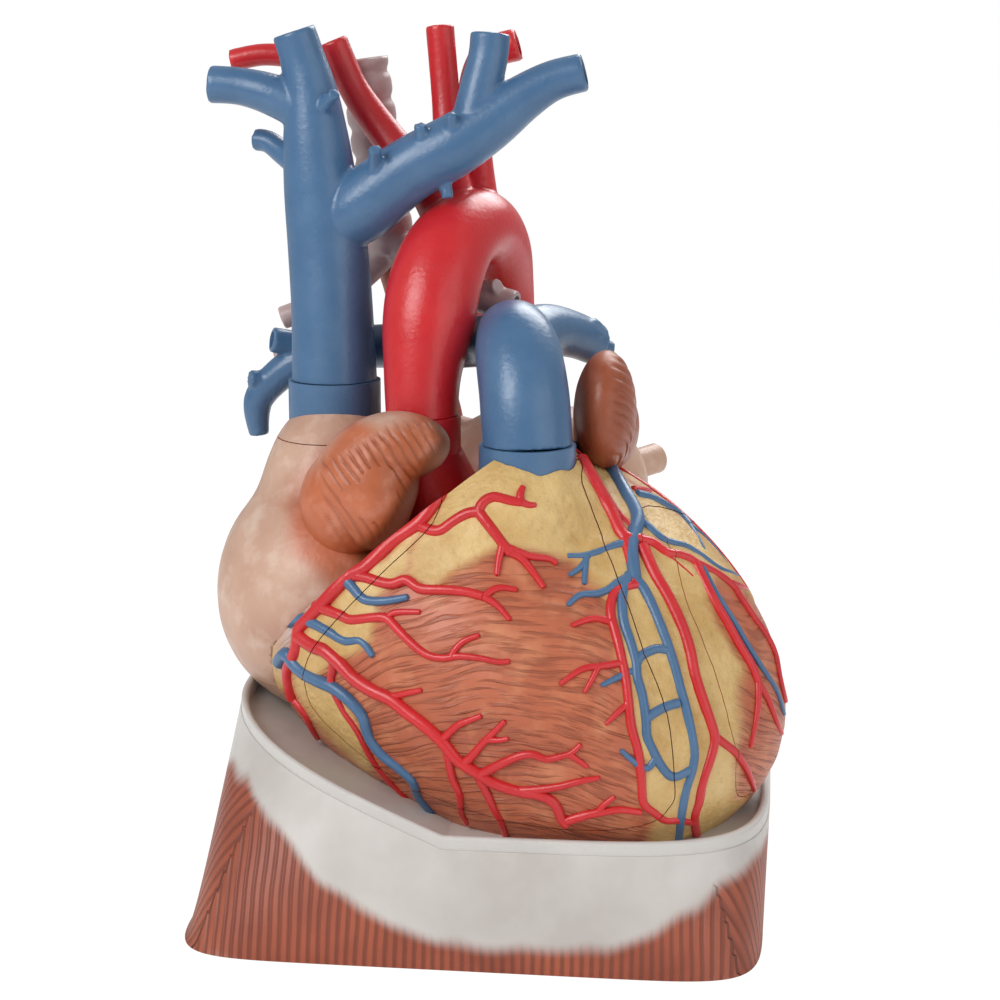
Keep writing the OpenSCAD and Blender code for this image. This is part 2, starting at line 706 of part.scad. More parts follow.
trunk_run = [[20, -42, 219, trunk_r], [18, -37, 243, 21], [13, -22, 263, 20],
    [8, -4, 270, 16.5]];
left_pulmonary_artery = [[10, -12, 265, 15], [22, 14, 268, 13], [34, 32, 264, 11.5],
    [44, 44, 258, 10.5]];
right_pulmonary_artery = [[8, -8, 266, 14], [-8, 16, 262, 12.5], [-34, 26, 258, 11.5],
    [-66, 44, 255, 11], [-92, 48, 252, 10.5], [-106, 46, 252, 9]];
right_upper_branch = [[-98, 48, 253, 7], [-110, 44, 256, 6.5], [-119, 40, 258, 6.5]];
right_lower_branch = [[-100, 47, 250, 9], [-116, 46, 240, 8.5], [-128, 46, 226, 7.5],
    [-128, 46, 208, 5]];

module pulmonary_trunk() {
    color(vein_blue) difference() {
        union() {
            limb(trunk_run, sides, 2, [1, 0, 0]);
            limb(left_pulmonary_artery, sides, 2, [0, 0, 1]);
            limb(right_pulmonary_artery, sides, 2, [0, 0, 1]);
            limb(right_upper_branch, 8, 1);
            limb(right_lower_branch, 10);
            nub([-96, 48, 254], [-108, 52, 266], 4.5);
            nub([-120, 46, 236], [-131, 40, 238], 4.5);
            nub([-124, 46, 226], [-134, 46, 222], 4);
            nub([38, 38, 262], [47, 34, 268], 5);
            nub([40, 40, 260], [52, 46, 254], 5);
        }
        under(trunk_seam);
        lumen(trunk_run[0], trunk_run[1]);
        lumen(left_pulmonary_artery[3], left_pulmonary_artery[2]);
        lumen(right_upper_branch[2], right_upper_branch[1], 6);
    }
}

// The windpipe's rings: one point on each ring and one in each groove
ring_pitch = 13;
ring_depth = 1.8;
trachea_top = [-75, 65.1, 397];
trachea_fork = [-62, 69, 300];
trachea_run = [for (i = [0:14])
    let (t = i / 14, p = trachea_top + t * (trachea_fork - trachea_top))
    [p[0], p[1], p[2], trachea_r - (i % 2 == 0 ? 0 : ring_depth)]];
left_bronchus = [[-58, 66, 304, 9], [-42, 54, 294, 9], [-24, 42, 286, 8.5], [-8, 33, 281, 8],
    [6, 29, 278, 7.5]];
right_bronchus = [[-64, 68, 304, 9], [-78, 70, 290, 9], [-92, 68, 278, 8]];
right_upper_bronchus = [[-88, 69, 282, 6], [-104, 66, 272, 6], [-119, 64, 266, 6]];
right_lower_bronchus = [[-90, 68, 281, 7], [-108, 68, 254, 6.5], [-134, 63.9, 220, 6]];

module trachea() {
    color(airway_pink) difference() {
        union() {
            limb(trachea_run, 14, 1);
            limb(left_bronchus, 10, 2, [0, 0, 1]);
            limb(right_bronchus, 10, 1);
            limb(right_upper_bronchus, 8, 1);
            limb(right_lower_bronchus, 8, 1);
            nub([-100, 66, 276], [-113, 72, 276], 4);
            nub([-112, 67, 250], [-124, 74, 246], 4);
            nub([-126, 66, 232], [-131, 58, 232], 4);
            nub([-12, 34, 284], [-2, 26, 288], 4);
        }
        lumen(trachea_run[0], trachea_run[1]);
        lumen(left_bronchus[4], left_bronchus[3], 6);
        lumen(right_upper_bronchus[2], right_upper_bronchus[1], 6);
        lumen(right_lower_bronchus[2], right_lower_bronchus[1], 6);
    }
}

gullet_run = [[-80, 86, 392, gullet_r], [-74, 87, 348, gullet_r], [-67, 89, 300, gullet_r],
    [-57, 101, 258, gullet_r], [-44, 114, 222, gullet_r], [-36, 117, 180, gullet_r],
    [-32, 115, 120, gullet_r], [-32, 112, 82, gullet_r]];
module oesophagus() {
    color(base_brown) difference() {
        limb(gullet_run, 10, 1);
        lumen(gullet_run[0], gullet_run[1]);
        lumen(gullet_run[7], gullet_run[6]);
    }
}

descending_run = [[-5, 82, 266, 15], [-2, 93, 243, 14.5], [4, 112, 210, 14], [7, 117, 175, 13.5],
    [8, 114, 120, 13], [8, 106, 54, 13]];
module descending_aorta() {
    color(artery_red) difference() {
        limb(descending_run);
        translate(arch_seam - [30, 30, 0]) cube(60);
        lumen(descending_run[0], descending_run[1], lumen_depth + 4);
        left_atrium();
        below_dome();
        ventricles();
    }
}

module inferior_vena_cava() {
    color(vein_blue) difference() {
        limb([[-70, 42, 125, 17], [-70, 48, 95, 17], [-70, 52, 60, 17.5]]);
        right_atrium();
        ventricles();
        below_dome();
    }
}

// ---- Valves and what holds them ----
// Three cusps that meet along a three-armed ridge, above the thin floor of a root
module three_cusps(seam, low, r) {
    translate([seam[0], seam[1], low]) {
        cylinder(h = 2, r = r, $fn = 48);
        for (k = [0:2]) rotate([0, 0, 90 + k * 120]) translate([0, -0.8, 1.5])
            cube([r - 0.4, 1.6, 7]);
    }
}
module aortic_valve() color(valve_cream)
    three_cusps(aorta_seam, aorta_low, aorta_r + root_step - vessel_wall - 0.05);
module pulmonary_valve() color(valve_cream)
    three_cusps(trunk_seam, trunk_low, trunk_r + root_step - vessel_wall - 0.05);

// A ring with leaflets that hang from it into the ventricle, with a slit between each two
module leaflet_valve(v, r, leaflets) {
    color(valve_cream) in_valve(v) {
        difference() {
            union() {
                cylinder(h = 6, r = r, $fn = 48);
                translate([0, 0, 5]) cylinder(h = r, r1 = r - 2, r2 = r * 0.55, $fn = 48);
            }
            translate([0, 0, -1]) cylinder(h = 6, r = r - 2 - leaflet_t, $fn = 48);
            translate([0, 0, 4.9])
                cylinder(h = r + 0.2, r1 = r - 2 - leaflet_t, r2 = r * 0.55 - leaflet_t, $fn = 48);
            for (k = [0:leaflets - 1]) rotate([0, 0, k * 360 / leaflets])
                translate([0, -0.7, 8]) cube([r, 1.4, r]);
        }
    }
}
module tricuspid_valve() leaflet_valve(tricuspid, tricuspid_r, 3);
module mitral_valve() leaflet_valve(mitral, mitral_r, 2);

// A papillary muscle with its two cords, in the heart's own axes
module papillary(foot, tip, ends, r = 6) {
    limb([[foot[0], foot[1], foot[2], r], [tip[0], tip[1], tip[2], r * 0.45]], 8, 1, [0, 0.3, 1]);
    for (e = ends) limb([[tip[0], tip[1], tip[2], 0.9], [e[0], e[1], e[2], 0.9]], 4, 1, [0, 0.3, 1]);
}
module right_papillary_muscles() {
    color(valve_cream) intersection() {
        in_heart() {
            papillary([30, -20, -30], [-18, -52, -32], [[-44, -50, -34], [-44, -46, -26]]);
            papillary([18, -10, 6], [-20, -46, -8], [[-44, -48, -18], [-44, -54, -14]]);
        }
        right_chamber();
    }
}
module left_papillary_muscles() {
    color(valve_cream) difference() {
        intersection() {
            in_heart() {
                papillary([66, 52, 6], [-4, 24, 14], [[-34, 18, 12], [-36, 22, 20]]);
                papillary([60, 4, -26], [-6, 8, -6], [[-34, 12, 4], [-38, 16, 2]]);
            }
            left_chamber_space();
        }
        left_atrium(-seat_gap);
    }
}

// ---- Locating pins, on the ledges that carry the two ventricle walls ----
right_wall_pins = [[-66, 114], [84, 104], [32, 190]];
left_wall_pins = [[26, 166], [54, 118], [34, 76]];
pin_root = 9;                      // length of pin inside the heart
pin_fit = 0.05;                    // room of that length in its bore
// The pins of one wall, seen along its slide and grown by g
module pin_set(places, yaw, wall_t, g = 0) {
    for (p = places) rotate([0, 0, yaw])
        translate([p[0], face_y(p[0], p[1], yaw, wall_t) - pin_h - g, p[1]])
            rotate([-90, 0, 0]) cylinder(h = pin_root + pin_h + 2 * g, d = pin_d + 2 * g, $fn = 24);
}
module locating_pins() {
    color(steel) {
        pin_set(right_wall_pins, right_wall_yaw, right_wall_t);
        pin_set(left_wall_pins, left_wall_yaw, left_wall_t);
    }
}

base_board();
board_screws();
diaphragm_block();
pericardium_rim();
heart_body();
right_ventricle_wall();
left_ventricle_wall();
right_atrium_wall();
left_auricle();
superior_vena_cava();
cava_root();
aorta();
aortic_root();
pulmonary_trunk();
pulmonary_root();
trachea();
oesophagus();
descending_aorta();
inferior_vena_cava();
aortic_valve();
pulmonary_valve();
tricuspid_valve();
mitral_valve();
right_papillary_muscles();
left_papillary_muscles();
locating_pins();
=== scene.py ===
# %% [markdown]
# # A take-apart model of the human heart
#
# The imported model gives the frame: every body, every size and every seam. This script
# dresses it. The same formulas as in the part's source give each surface again, with many
# more points, and detail is added to them: ridges, fat, vessels, folds and paint.
#
# Lengths below are millimetres in the part's frame (+Z up, the heart's front towards -Y).
# They become metres when a mesh is made.

# %% Load the frame
import math

import bmesh
import bpy
import numpy as np
from mathutils import Matrix
from mathutils.bvhtree import BVHTree


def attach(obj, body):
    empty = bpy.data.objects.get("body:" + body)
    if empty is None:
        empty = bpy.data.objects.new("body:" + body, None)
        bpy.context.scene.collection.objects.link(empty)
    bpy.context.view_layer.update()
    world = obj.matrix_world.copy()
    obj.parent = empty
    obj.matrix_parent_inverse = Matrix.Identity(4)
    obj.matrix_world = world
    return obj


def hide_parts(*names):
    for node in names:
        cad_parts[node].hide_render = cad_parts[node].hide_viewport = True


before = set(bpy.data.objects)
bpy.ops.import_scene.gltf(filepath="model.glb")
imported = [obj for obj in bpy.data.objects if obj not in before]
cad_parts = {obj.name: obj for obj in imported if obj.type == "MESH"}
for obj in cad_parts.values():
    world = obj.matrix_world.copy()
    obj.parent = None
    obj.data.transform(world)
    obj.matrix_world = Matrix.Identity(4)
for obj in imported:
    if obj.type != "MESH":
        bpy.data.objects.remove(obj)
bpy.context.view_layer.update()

MM = 0.001
rng = np.random.default_rng(7)

# %% [markdown]
# ## Camera
# The camera stands where the photograph was taken from. Its place follows from the base's
# corners and the vessels' tops. The same numbers turn a pixel of the photograph into a ray,
# so that a vessel traced in the picture can be laid on the heart.

# %% Camera
CAM_AZ = math.radians(7)
CAM_AWAY = 1040.0
CAM_RISE = 213.5
CAM_TARGET = np.array([2 * math.cos(CAM_AZ), 2 * math.sin(CAM_AZ), 186.5])
FOCAL_PX = 2180.0
FRAME_PX = 1000

cam_el = math.atan2(CAM_RISE, CAM_AWAY)
BACK = np.array([math.sin(CAM_AZ) * math.cos(cam_el), -math.cos(CAM_AZ) * math.cos(cam_el),
                 math.sin(cam_el)])
RIGHT = np.array([math.cos(CAM_AZ), math.sin(CAM_AZ), 0.0])
UP = np.cross(BACK, RIGHT)
CAM_AT = CAM_TARGET + BACK * math.hypot(CAM_RISE, CAM_AWAY)


def make_camera():
    """The photograph's camera."""
    data = bpy.data.cameras.new("camera")
    data.sensor_width = 36
    data.lens = FOCAL_PX / FRAME_PX * data.sensor_width
    data.clip_start, data.clip_end = 0.05, 20
    cam = bpy.data.objects.new("camera", data)
    bpy.context.scene.collection.objects.link(cam)
    rows = np.eye(4)
    rows[:3, 0], rows[:3, 1], rows[:3, 2], rows[:3, 3] = RIGHT, UP, BACK, CAM_AT * MM
    cam.matrix_world = Matrix(rows.tolist())
    bpy.context.scene.camera = cam


def pixel_ray(px, py):
    """Unit direction from the camera through a pixel of the photograph's frame."""
    half = FRAME_PX / 2
    v = (px - half) / FOCAL_PX * RIGHT + (half - py) / FOCAL_PX * UP - BACK
    return v / np.linalg.norm(v)


def to_pixels(points):
    """Pixels (n, 2) at which points (n, 3) of the part's frame appear."""
    p = np.asarray(points, float) - CAM_AT
    depth = -(p @ BACK)
    return np.stack([FRAME_PX / 2 + FOCAL_PX * (p @ RIGHT) / depth,
                     FRAME_PX / 2 - FOCAL_PX * (p @ UP) / depth], axis=1)


make_camera()
print("camera at", np.round(CAM_AT).tolist(), "mm")

# %% [markdown]
# ## Meshes from formulas
# A form is a list of ellipsoids [centre, radii] seen from one inner point. Along each
# direction the form reaches as far as the twelfth-power mean of what the single ellipsoids
# reach, which blends them softly. `star` samples that reach on a fine grid. A sculpted mesh
# would do too, but a formula lets every wall and seat be cut from the same skin.

# %% Forms as formulas
def unit(v):
    """Vectors of length one."""
    v = np.asarray(v, float)
    return v / np.maximum(np.linalg.norm(v, axis=-1, keepdims=True), 1e-12)


def smoothstep(a, b, x):
    """0 below a, 1 above b, with a soft ramp between."""
    t = np.clip((x - a) / (b - a), 0, 1)
    return t * t * (3 - 2 * t)


def reach(o, d, form, blend=12.0):
    """Blended distance from o along unit directions d (n, 3) to the form's surface."""
    total = np.zeros(len(d))
    for centre, radii in form:
        p = (np.asarray(o, float) - centre) / radii
        q = d / radii
        pq, qq = q @ p, (q * q).sum(1)
        root = pq ** 2 - qq * (p @ p - 1)
        far = np.where(root < 0, 1.0, (-pq + np.sqrt(np.maximum(root, 0))) / qq)
        total += np.maximum(far, 1.0) ** blend
    return total ** (1 / blend)


def grid_faces(rows, spokes):
    """Faces of a closed skin: a first point, rows x spokes points, and a last point.

    Quad of ring i and spoke j joins j and j + 1 of rings i and i + 1."""
    i, j = np.meshgrid(np.arange(rows - 1), np.arange(spokes), indexing="ij")
    a = 1 + i * spokes + j
    b = 1 + i * spokes + (j + 1) % spokes
    quads = np.stack([a, b, b + spokes, a + spokes], -1).reshape(-1, 4)
    j = np.arange(spokes)
    end = 1 + rows * spokes
    first = np.stack([np.zeros_like(j), 1 + (j + 1) % spokes, 1 + j], 1)
    last = np.stack([np.full_like(j, end), end - spokes + j,
                     end - spokes + (j + 1) % spokes], 1)
    return quads, np.concatenate([first, last])


def star_points(o, form, t, rows, spokes):
    """Directions and points of a form's skin drawn in by t; rings turn about the x axis."""
    a = np.linspace(0, math.pi, rows + 1)[1:-1, None]
    b = np.linspace(0, 2 * math.pi, spokes, endpoint=False)[None, :]
    d = np.stack([np.broadcast_to(np.cos(a), (rows - 1, spokes)), np.sin(a) * np.cos(b),
                  np.sin(a) * np.sin(b)], -1).reshape(-1, 3)
    d = np.concatenate([[[1, 0, 0]], d, [[-1, 0, 0]]])
    return d, np.asarray(o) + (reach(o, d, form) - t)[:, None] * d


# %% [markdown]
# Points and faces go into a mesh as whole arrays and come back the same way, so no step
# loops over the points of a form.

# %% Mesh objects
def make(name, verts, quads=None, tris=None):
    """A mesh object from points in millimetres."""
    faces = ([] if quads is None else np.asarray(quads).tolist()) + \
            ([] if tris is None else np.asarray(tris).tolist())
    mesh = bpy.data.meshes.new(name)
    mesh.from_pydata((np.asarray(verts) * MM).tolist(), [], faces)
    mesh.validate()
    obj = bpy.data.objects.new(name, mesh)
    bpy.context.scene.collection.objects.link(obj)
    return obj


def star(name, o, form, t, rows, spokes):
    """An object of a form's skin, drawn in by t."""
    _, p = star_points(o, form, t, rows, spokes)
    quads, tris = grid_faces(rows - 1, spokes)
    return make(name, p, quads, tris)


def verts_of(obj):
    """Points (n, 3) of an object in millimetres."""
    co = np.empty(len(obj.data.vertices) * 3, np.float32)
    obj.data.vertices.foreach_get("co", co)
    return co.reshape(-1, 3).astype(float) / MM


def set_verts(obj, points):
    """Writes an object's points back."""
    obj.data.vertices.foreach_set("co", (np.asarray(points) * MM).astype(np.float32).ravel())
    obj.data.update()


def normals_of(obj):
    """Point normals (n, 3)."""
    n = np.empty(len(obj.data.vertices) * 3, np.float32)
    obj.data.vertex_normals.foreach_get("vector", n)
    return n.reshape(-1, 3).astype(float)


# %% [markdown]
# Seams, seats and hollows are booleans of closed solids. Each operand keeps its own paint, so
# a fresh cut shows the paint of the solid that made it, as a cut through flesh does.

# %% Cutting and joining
def settle(obj):
    """Applies an object's modifiers to its mesh."""
    deps = bpy.context.evaluated_depsgraph_get()
    mesh = bpy.data.meshes.new_from_object(obj.evaluated_get(deps))
    obj.modifiers.clear()
    old, obj.data = obj.data, mesh
    bpy.data.meshes.remove(old)
    return obj


def combine(a, b, how):
    """Boolean of two closed objects, which uses b up. The faces that b leaves keep b's paint."""
    if not b.data.materials:
        b.data.materials.append(bpy.data.materials["cut_muscle_paint"])
    mod = a.modifiers.new("cut", "BOOLEAN")
    mod.operation, mod.solver, mod.object = how, "MANIFOLD", b
    mod.material_mode = "TRANSFER"
    settle(a)
    bpy.data.objects.remove(b)
    return a


def cut(a, *others):
    """a without the others."""
    for b in others:
        combine(a, b, "DIFFERENCE")
    return a


def add(a, *others):
    """a and the others as one skin."""
    for b in others:
        combine(a, b, "UNION")
    return a


def meet(a, b):
    """What a and b share."""
    return combine(a, b, "INTERSECT")


def copy_of(obj, name):
    """A second object with a mesh of its own."""
    new = obj.copy()
    new.data = obj.data.copy()
    new.name = name
    bpy.context.scene.collection.objects.link(new)
    return new


# %% [markdown]
# A tube is a circle carried along a smooth curve. A loose wall's cutter is its outline drawn
# out along the way the wall slides.

# %% Boxes, tubes and drawn-out outlines
def box(lo, hi):
    """A box between two corners, for cutting."""
    lo, hi = np.asarray(lo, float), np.asarray(hi, float)
    v = [[(lo, hi)[x][0], (lo, hi)[y][1], (lo, hi)[z][2]]
         for x in (0, 1) for y in (0, 1) for z in (0, 1)]
    q = [[0, 1, 3, 2], [4, 6, 7, 5], [0, 4, 5, 1], [2, 3, 7, 6], [0, 2, 6, 4], [1, 5, 7, 3]]
    return make("box", v, q)


def bow(p, k=8):
    """Catmull-Rom curve through rows of p, k steps to a span."""
    p = np.asarray(p, float)
    e = np.concatenate([p[:1], p, p[-1:]])
    t = np.arange(k)[:, None] / k
    out = []
    for i in range(1, len(e) - 2):
        a, b, c, d = e[i - 1], e[i], e[i + 1], e[i + 2]
        out.append(0.5 * (2 * b + (c - a) * t + (2 * a - 5 * b + 4 * c - d) * t ** 2
                          + (3 * b - a - 3 * c + d) * t ** 3))
    return np.concatenate(out + [p[-1:]])


def sweep(points, sides=40, lean=(0, 1, 0), ends=0.0):
    """Points and faces of a round tube along rows [x, y, z, radius].

    A ring's axes are lean x heading and heading x that. ends > 0 rounds the tube's ends."""
    p = np.asarray(points, float)
    d = unit(np.gradient(p[:, :3], axis=0))
    u = unit(np.cross(np.asarray(lean, float), d))
    v = np.cross(d, u)
    a = -np.linspace(0, 2 * math.pi, sides, endpoint=False)
    ring = (np.cos(a)[None, :, None] * u[:, None] + np.sin(a)[None, :, None] * v[:, None])
    body = p[:, None, :3] + p[:, 3][:, None, None] * ring
    verts = np.concatenate([p[:1, :3] - d[:1] * p[0, 3] * ends, body.reshape(-1, 3),
                            p[-1:, :3] + d[-1:] * p[-1, 3] * ends])
    quads, tris = grid_faces(len(p), sides)
    return verts, quads, tris


def prism(line, yaw, back, g=0.0, reach_out=400.0):
    """An outline [across, z], grown by g, drawn out from depth back towards the viewer.

    The corners are moved along the mean of their two edges' normals."""
    p = np.asarray(line, float)
    e = unit(np.roll(p, -1, 0) - p)
    n = np.stack([e[:, 1], -e[:, 0]], 1)
    area = np.sum(p[:, 0] * np.roll(p[:, 1], -1) - np.roll(p[:, 0], -1) * p[:, 1])
    n = n if area > 0 else -n
    both = n + np.roll(n, 1, 0)
    p = p + g * 2 * both / np.maximum((both * both).sum(1, keepdims=True), 0.3)
    c, s = math.cos(math.radians(yaw)), math.sin(math.radians(yaw))
    v = []
    for y in (back + g, back + g - reach_out):
        v.append(np.stack([c * p[:, 0] - s * y, s * p[:, 0] + c * y, p[:, 1]], 1))
    m = len(p)
    j = np.arange(m)
    sides = np.stack([j, (j + 1) % m, m + (j + 1) % m, m + j], 1)
    ends = [list(range(m))[::-1], list(range(m, 2 * m))]
    return outward(make("prism", np.concatenate(v), sides, ends))


def outward(obj):
    """Turns a closed mesh's faces outward, by the sign of its volume."""
    mesh = obj.data
    mesh.calc_loop_triangles()
    n = len(mesh.loop_triangles)
    idx = np.empty(n * 3, np.int32)
    mesh.loop_triangles.foreach_get("vertices", idx)
    t = verts_of(obj)[idx.reshape(-1, 3)]
    if np.einsum("ij,ij->i", t[:, 0], np.cross(t[:, 1], t[:, 2])).sum() < 0:
        mesh.flip_normals()
    return obj


# %% [markdown]
# Branching vessels are melted from plain tubes, which leaves a soft fillet in every fork.

# %% Melting and shading
def fuse(name, parts, voxel=1.0, soften=6):
    """Melts overlapping parts into one skin: voxel remesh, then a few smoothing rounds."""
    for other in parts[1:]:
        join(parts[0], other)
    obj = parts[0]
    obj.name = name
    mod = obj.modifiers.new("remesh", "REMESH")
    mod.mode, mod.voxel_size = "VOXEL", voxel * MM
    mod = obj.modifiers.new("soften", "SMOOTH")
    mod.factor, mod.iterations = 0.6, soften
    return settle(obj)


def join(a, b):
    """Appends b's mesh to a, with its materials, and deletes b."""
    for m in b.data.materials:
        if m not in list(a.data.materials):
            a.data.materials.append(m)
    with bpy.context.temp_override(active_object=a, object=a, selected_objects=[a, b],
                                   selected_editable_objects=[a, b]):
        bpy.ops.object.join()
    return a


def shade(obj, angle=38):
    """Smooth shading with sharp edges above an angle in degrees."""
    obj.data.shade_smooth()
    obj.data.set_sharp_from_angle(angle=math.radians(angle))
    return obj


def point_values(obj, name, values):
    """Stores one number for each point, for a material to read."""
    att = obj.data.attributes.get(name) or obj.data.attributes.new(name, "FLOAT", "POINT")
    att.data.foreach_set("value", np.asarray(values, np.float32))


# %% [markdown]
# ## Value noise
# A lattice of repeatable random numbers, blended with a smooth ramp between lattice points.
# It makes the hand-cast unevenness of the real model as geometry, so the mesh itself has it.

# %% Noise
LATTICE_N = 32
LATTICE = rng.random((LATTICE_N, LATTICE_N, LATTICE_N))


def noise(p, size):
    """Smooth noise in -1..1 at points (n, 3), with lumps about size millimetres across."""
    q = np.asarray(p) / size
    i = np.floor(q).astype(int)
    f = q - i
    f = f * f * (3 - 2 * f)
    out = np.zeros(len(q))
    for x in (0, 1):
        for y in (0, 1):
            for z in (0, 1):
                w = (f[:, 0] if x else 1 - f[:, 0]) * (f[:, 1] if y else 1 - f[:, 1]) \
                    * (f[:, 2] if z else 1 - f[:, 2])
                out += w * LATTICE[(i[:, 0] + x) % LATTICE_N, (i[:, 1] + y) % LATTICE_N,
                                   (i[:, 2] + z) % LATTICE_N]
    return out * 2 - 1


# %% [markdown]
# ## The heart's forms
# The same ellipsoids, seams and seats as in the part's source. With the values shared, a
# painted piece takes the place of its solid and still clears its neighbours.

# %% Forms and outlines
HEART_AT = np.array([25.0, -15.0, 125.0])
YAW, PITCH = math.radians(23), math.radians(27)
TURN_Z = np.array([[math.cos(-YAW), -math.sin(-YAW), 0], [math.sin(-YAW), math.cos(-YAW), 0],
                   [0, 0, 1]])
TURN_Y = np.array([[math.cos(PITCH), 0, math.sin(PITCH)], [0, 1, 0],
                   [-math.sin(PITCH), 0, math.cos(PITCH)]])
HEART_TURN = TURN_Z @ TURN_Y
VENTRICLES = [([0, 10, 0], [126, 78, 82]), ([-5, -25, -15], [125, 75, 78]),
              ([-30, -25, 25], [50, 50, 68]), ([-50, -30, -28], [72, 62, 62])]
GROOVE_AT, GROOVE_TILT = -67.0, math.radians(20)
RIGHT_WALL_T, LEFT_WALL_T, ATRIUM_WALL_T = 9.0, 22.0, 7.0
SEAT_GAP, LEDGE = 0.4, 12.0
RIGHT_YAW, LEFT_YAW, ATRIUM_YAW = 0.0, 50.0, -50.0
RIGHT_BACK, LEFT_BACK, ATRIUM_BACK = -12.0, 8.0, -46.0
RIGHT_LINE = [[-8, 216], [-19, 191], [-42, 168], [-61, 148], [-74, 132], [-80, 118], [-78, 101],
              [-64, 88], [-45, 75], [-24, 67], [13, 61], [43, 59], [78, 61], [91, 70], [93, 81],
              [89, 112], [78, 138], [68, 161], [63, 170], [53, 190], [46, 206], [40, 216]]
LEFT_LINE = [[22, 191], [19, 176], [11, 156], [10, 139], [12, 106], [15, 90], [20, 68], [40, 62],
             [64, 70], [80, 92], [84, 125], [76, 156], [54, 182]]
ATRIUM_LINE = [[-125, 99], [-125, 216], [-20, 216], [-6, 200], [4, 178], [6, 150], [0, 112],
               [-30, 100]]
AORTA_SEAM, TRUNK_SEAM, CAVA_SEAM = (-33, -20, 231), (20, -42, 222), (-81, 10, 243)
AORTA_LOW, TRUNK_LOW, CAVA_LOW = 214, 207, 218
AORTA_R, TRUNK_R, CAVA_R, ROOT_STEP = 17.0, 21.0, 21.0, 1.6
ATRIUM_O = [-78, 0, 150]
ATRIUM = [([-80, 0, 140], [58, 60, 62]), ([-80, 5, 185], [36, 38, 50])]
LEFT_ATRIUM_O = [15, 60, 185]
LEFT_ATRIUM = [([15, 60, 185], [56, 38, 40])]
AURICLE_O = [-46, -49, 210]
AURICLE = [([-40, -46, 221], [24, 20, 16]), ([-50, -51, 200], [17, 20, 28]),
           ([-66, -40, 192], [22, 20, 26]), ([-54, -48, 206], [24, 19, 25])]
LEFT_AURICLE_O = [53, 4, 228]
LEFT_AURICLE = [([53, -2, 232], [15, 26, 29]), ([52, 22, 220], [16, 30, 22])]
SEPTUM = [([4, 14, 4], [106, 52, 58])]
DOME_Z, DOME_SLOPE, DOME_CREASE = 50.0, 0.36, -10.0


def from_heart(p):
    """Points of the heart's own axes in the part's frame."""
    return np.asarray(p, float) @ HEART_TURN.T + HEART_AT


def rounded(line, k=4):
    """A closed outline drawn through its corners as one smooth curve, k steps to a side."""
    p = np.asarray(line, float)
    n = len(p)
    t = np.arange(k)[:, None] / k
    out = []
    for i in range(n):
        a, b, c, d = p[i - 1], p[i], p[(i + 1) % n], p[(i + 2) % n]
        out.append(0.5 * (2 * b + (c - a) * t + (2 * a - 5 * b + 4 * c - d) * t ** 2
                          + (3 * b - a - 3 * c + d) * t ** 3))
    return np.concatenate(out)


def inside(points, line):
    """Which of the points (n, 2) lie inside a closed outline."""
    p = np.asarray(line, float)
    x, y = points[:, 0], points[:, 1]
    hit = np.zeros(len(points), bool)
    for (x1, y1), (x2, y2) in zip(p, np.roll(p, -1, 0)):
        if y1 != y2:
            hit ^= ((y1 > y) != (y2 > y)) & (x < (x2 - x1) * (y - y1) / (y2 - y1) + x1)
    return hit


def edge_distance(points, line, closed=True):
    """Distance of points (n, 2) from an outline's or a path's nearest edge."""
    p = np.asarray(line, float)
    ends = np.roll(p, -1, 0) if closed else p[1:]
    best = np.full(len(points), 1e9)
    for a, b in zip(p, ends):
        ab = b - a
        t = np.clip((points - a) @ ab / max(ab @ ab, 1e-9), 0, 1)
        best = np.minimum(best, np.linalg.norm(points - a - t[:, None] * ab, axis=1))
    return best


def seen_along(p, yaw):
    """Across, depth and height of points, seen along a wall's slide."""
    c, s = math.cos(math.radians(yaw)), math.sin(math.radians(yaw))
    return np.stack([c * p[:, 0] + s * p[:, 1], -s * p[:, 0] + c * p[:, 1], p[:, 2]], 1)


RIGHT_CURVE = rounded(RIGHT_LINE)
LEFT_CURVE = rounded(LEFT_LINE)
ATRIUM_CURVE = np.asarray(ATRIUM_LINE, float)

plain = from_heart(star_points([0, 0, 0], VENTRICLES, 0, 220, 320)[1])
quads, tris = grid_faces(219, 320)
plain_tree = BVHTree.FromPolygons(plain.tolist(), quads.tolist() + tris.tolist())
print("plain heart:", len(plain), "points")

# %% [markdown]
# ## Vessels traced in the photograph
# Each vessel is a list of pixels with the radius at its two ends. A smooth curve through the
# pixels is cast onto the heart, so the vessel lies on the surface where the picture has it.

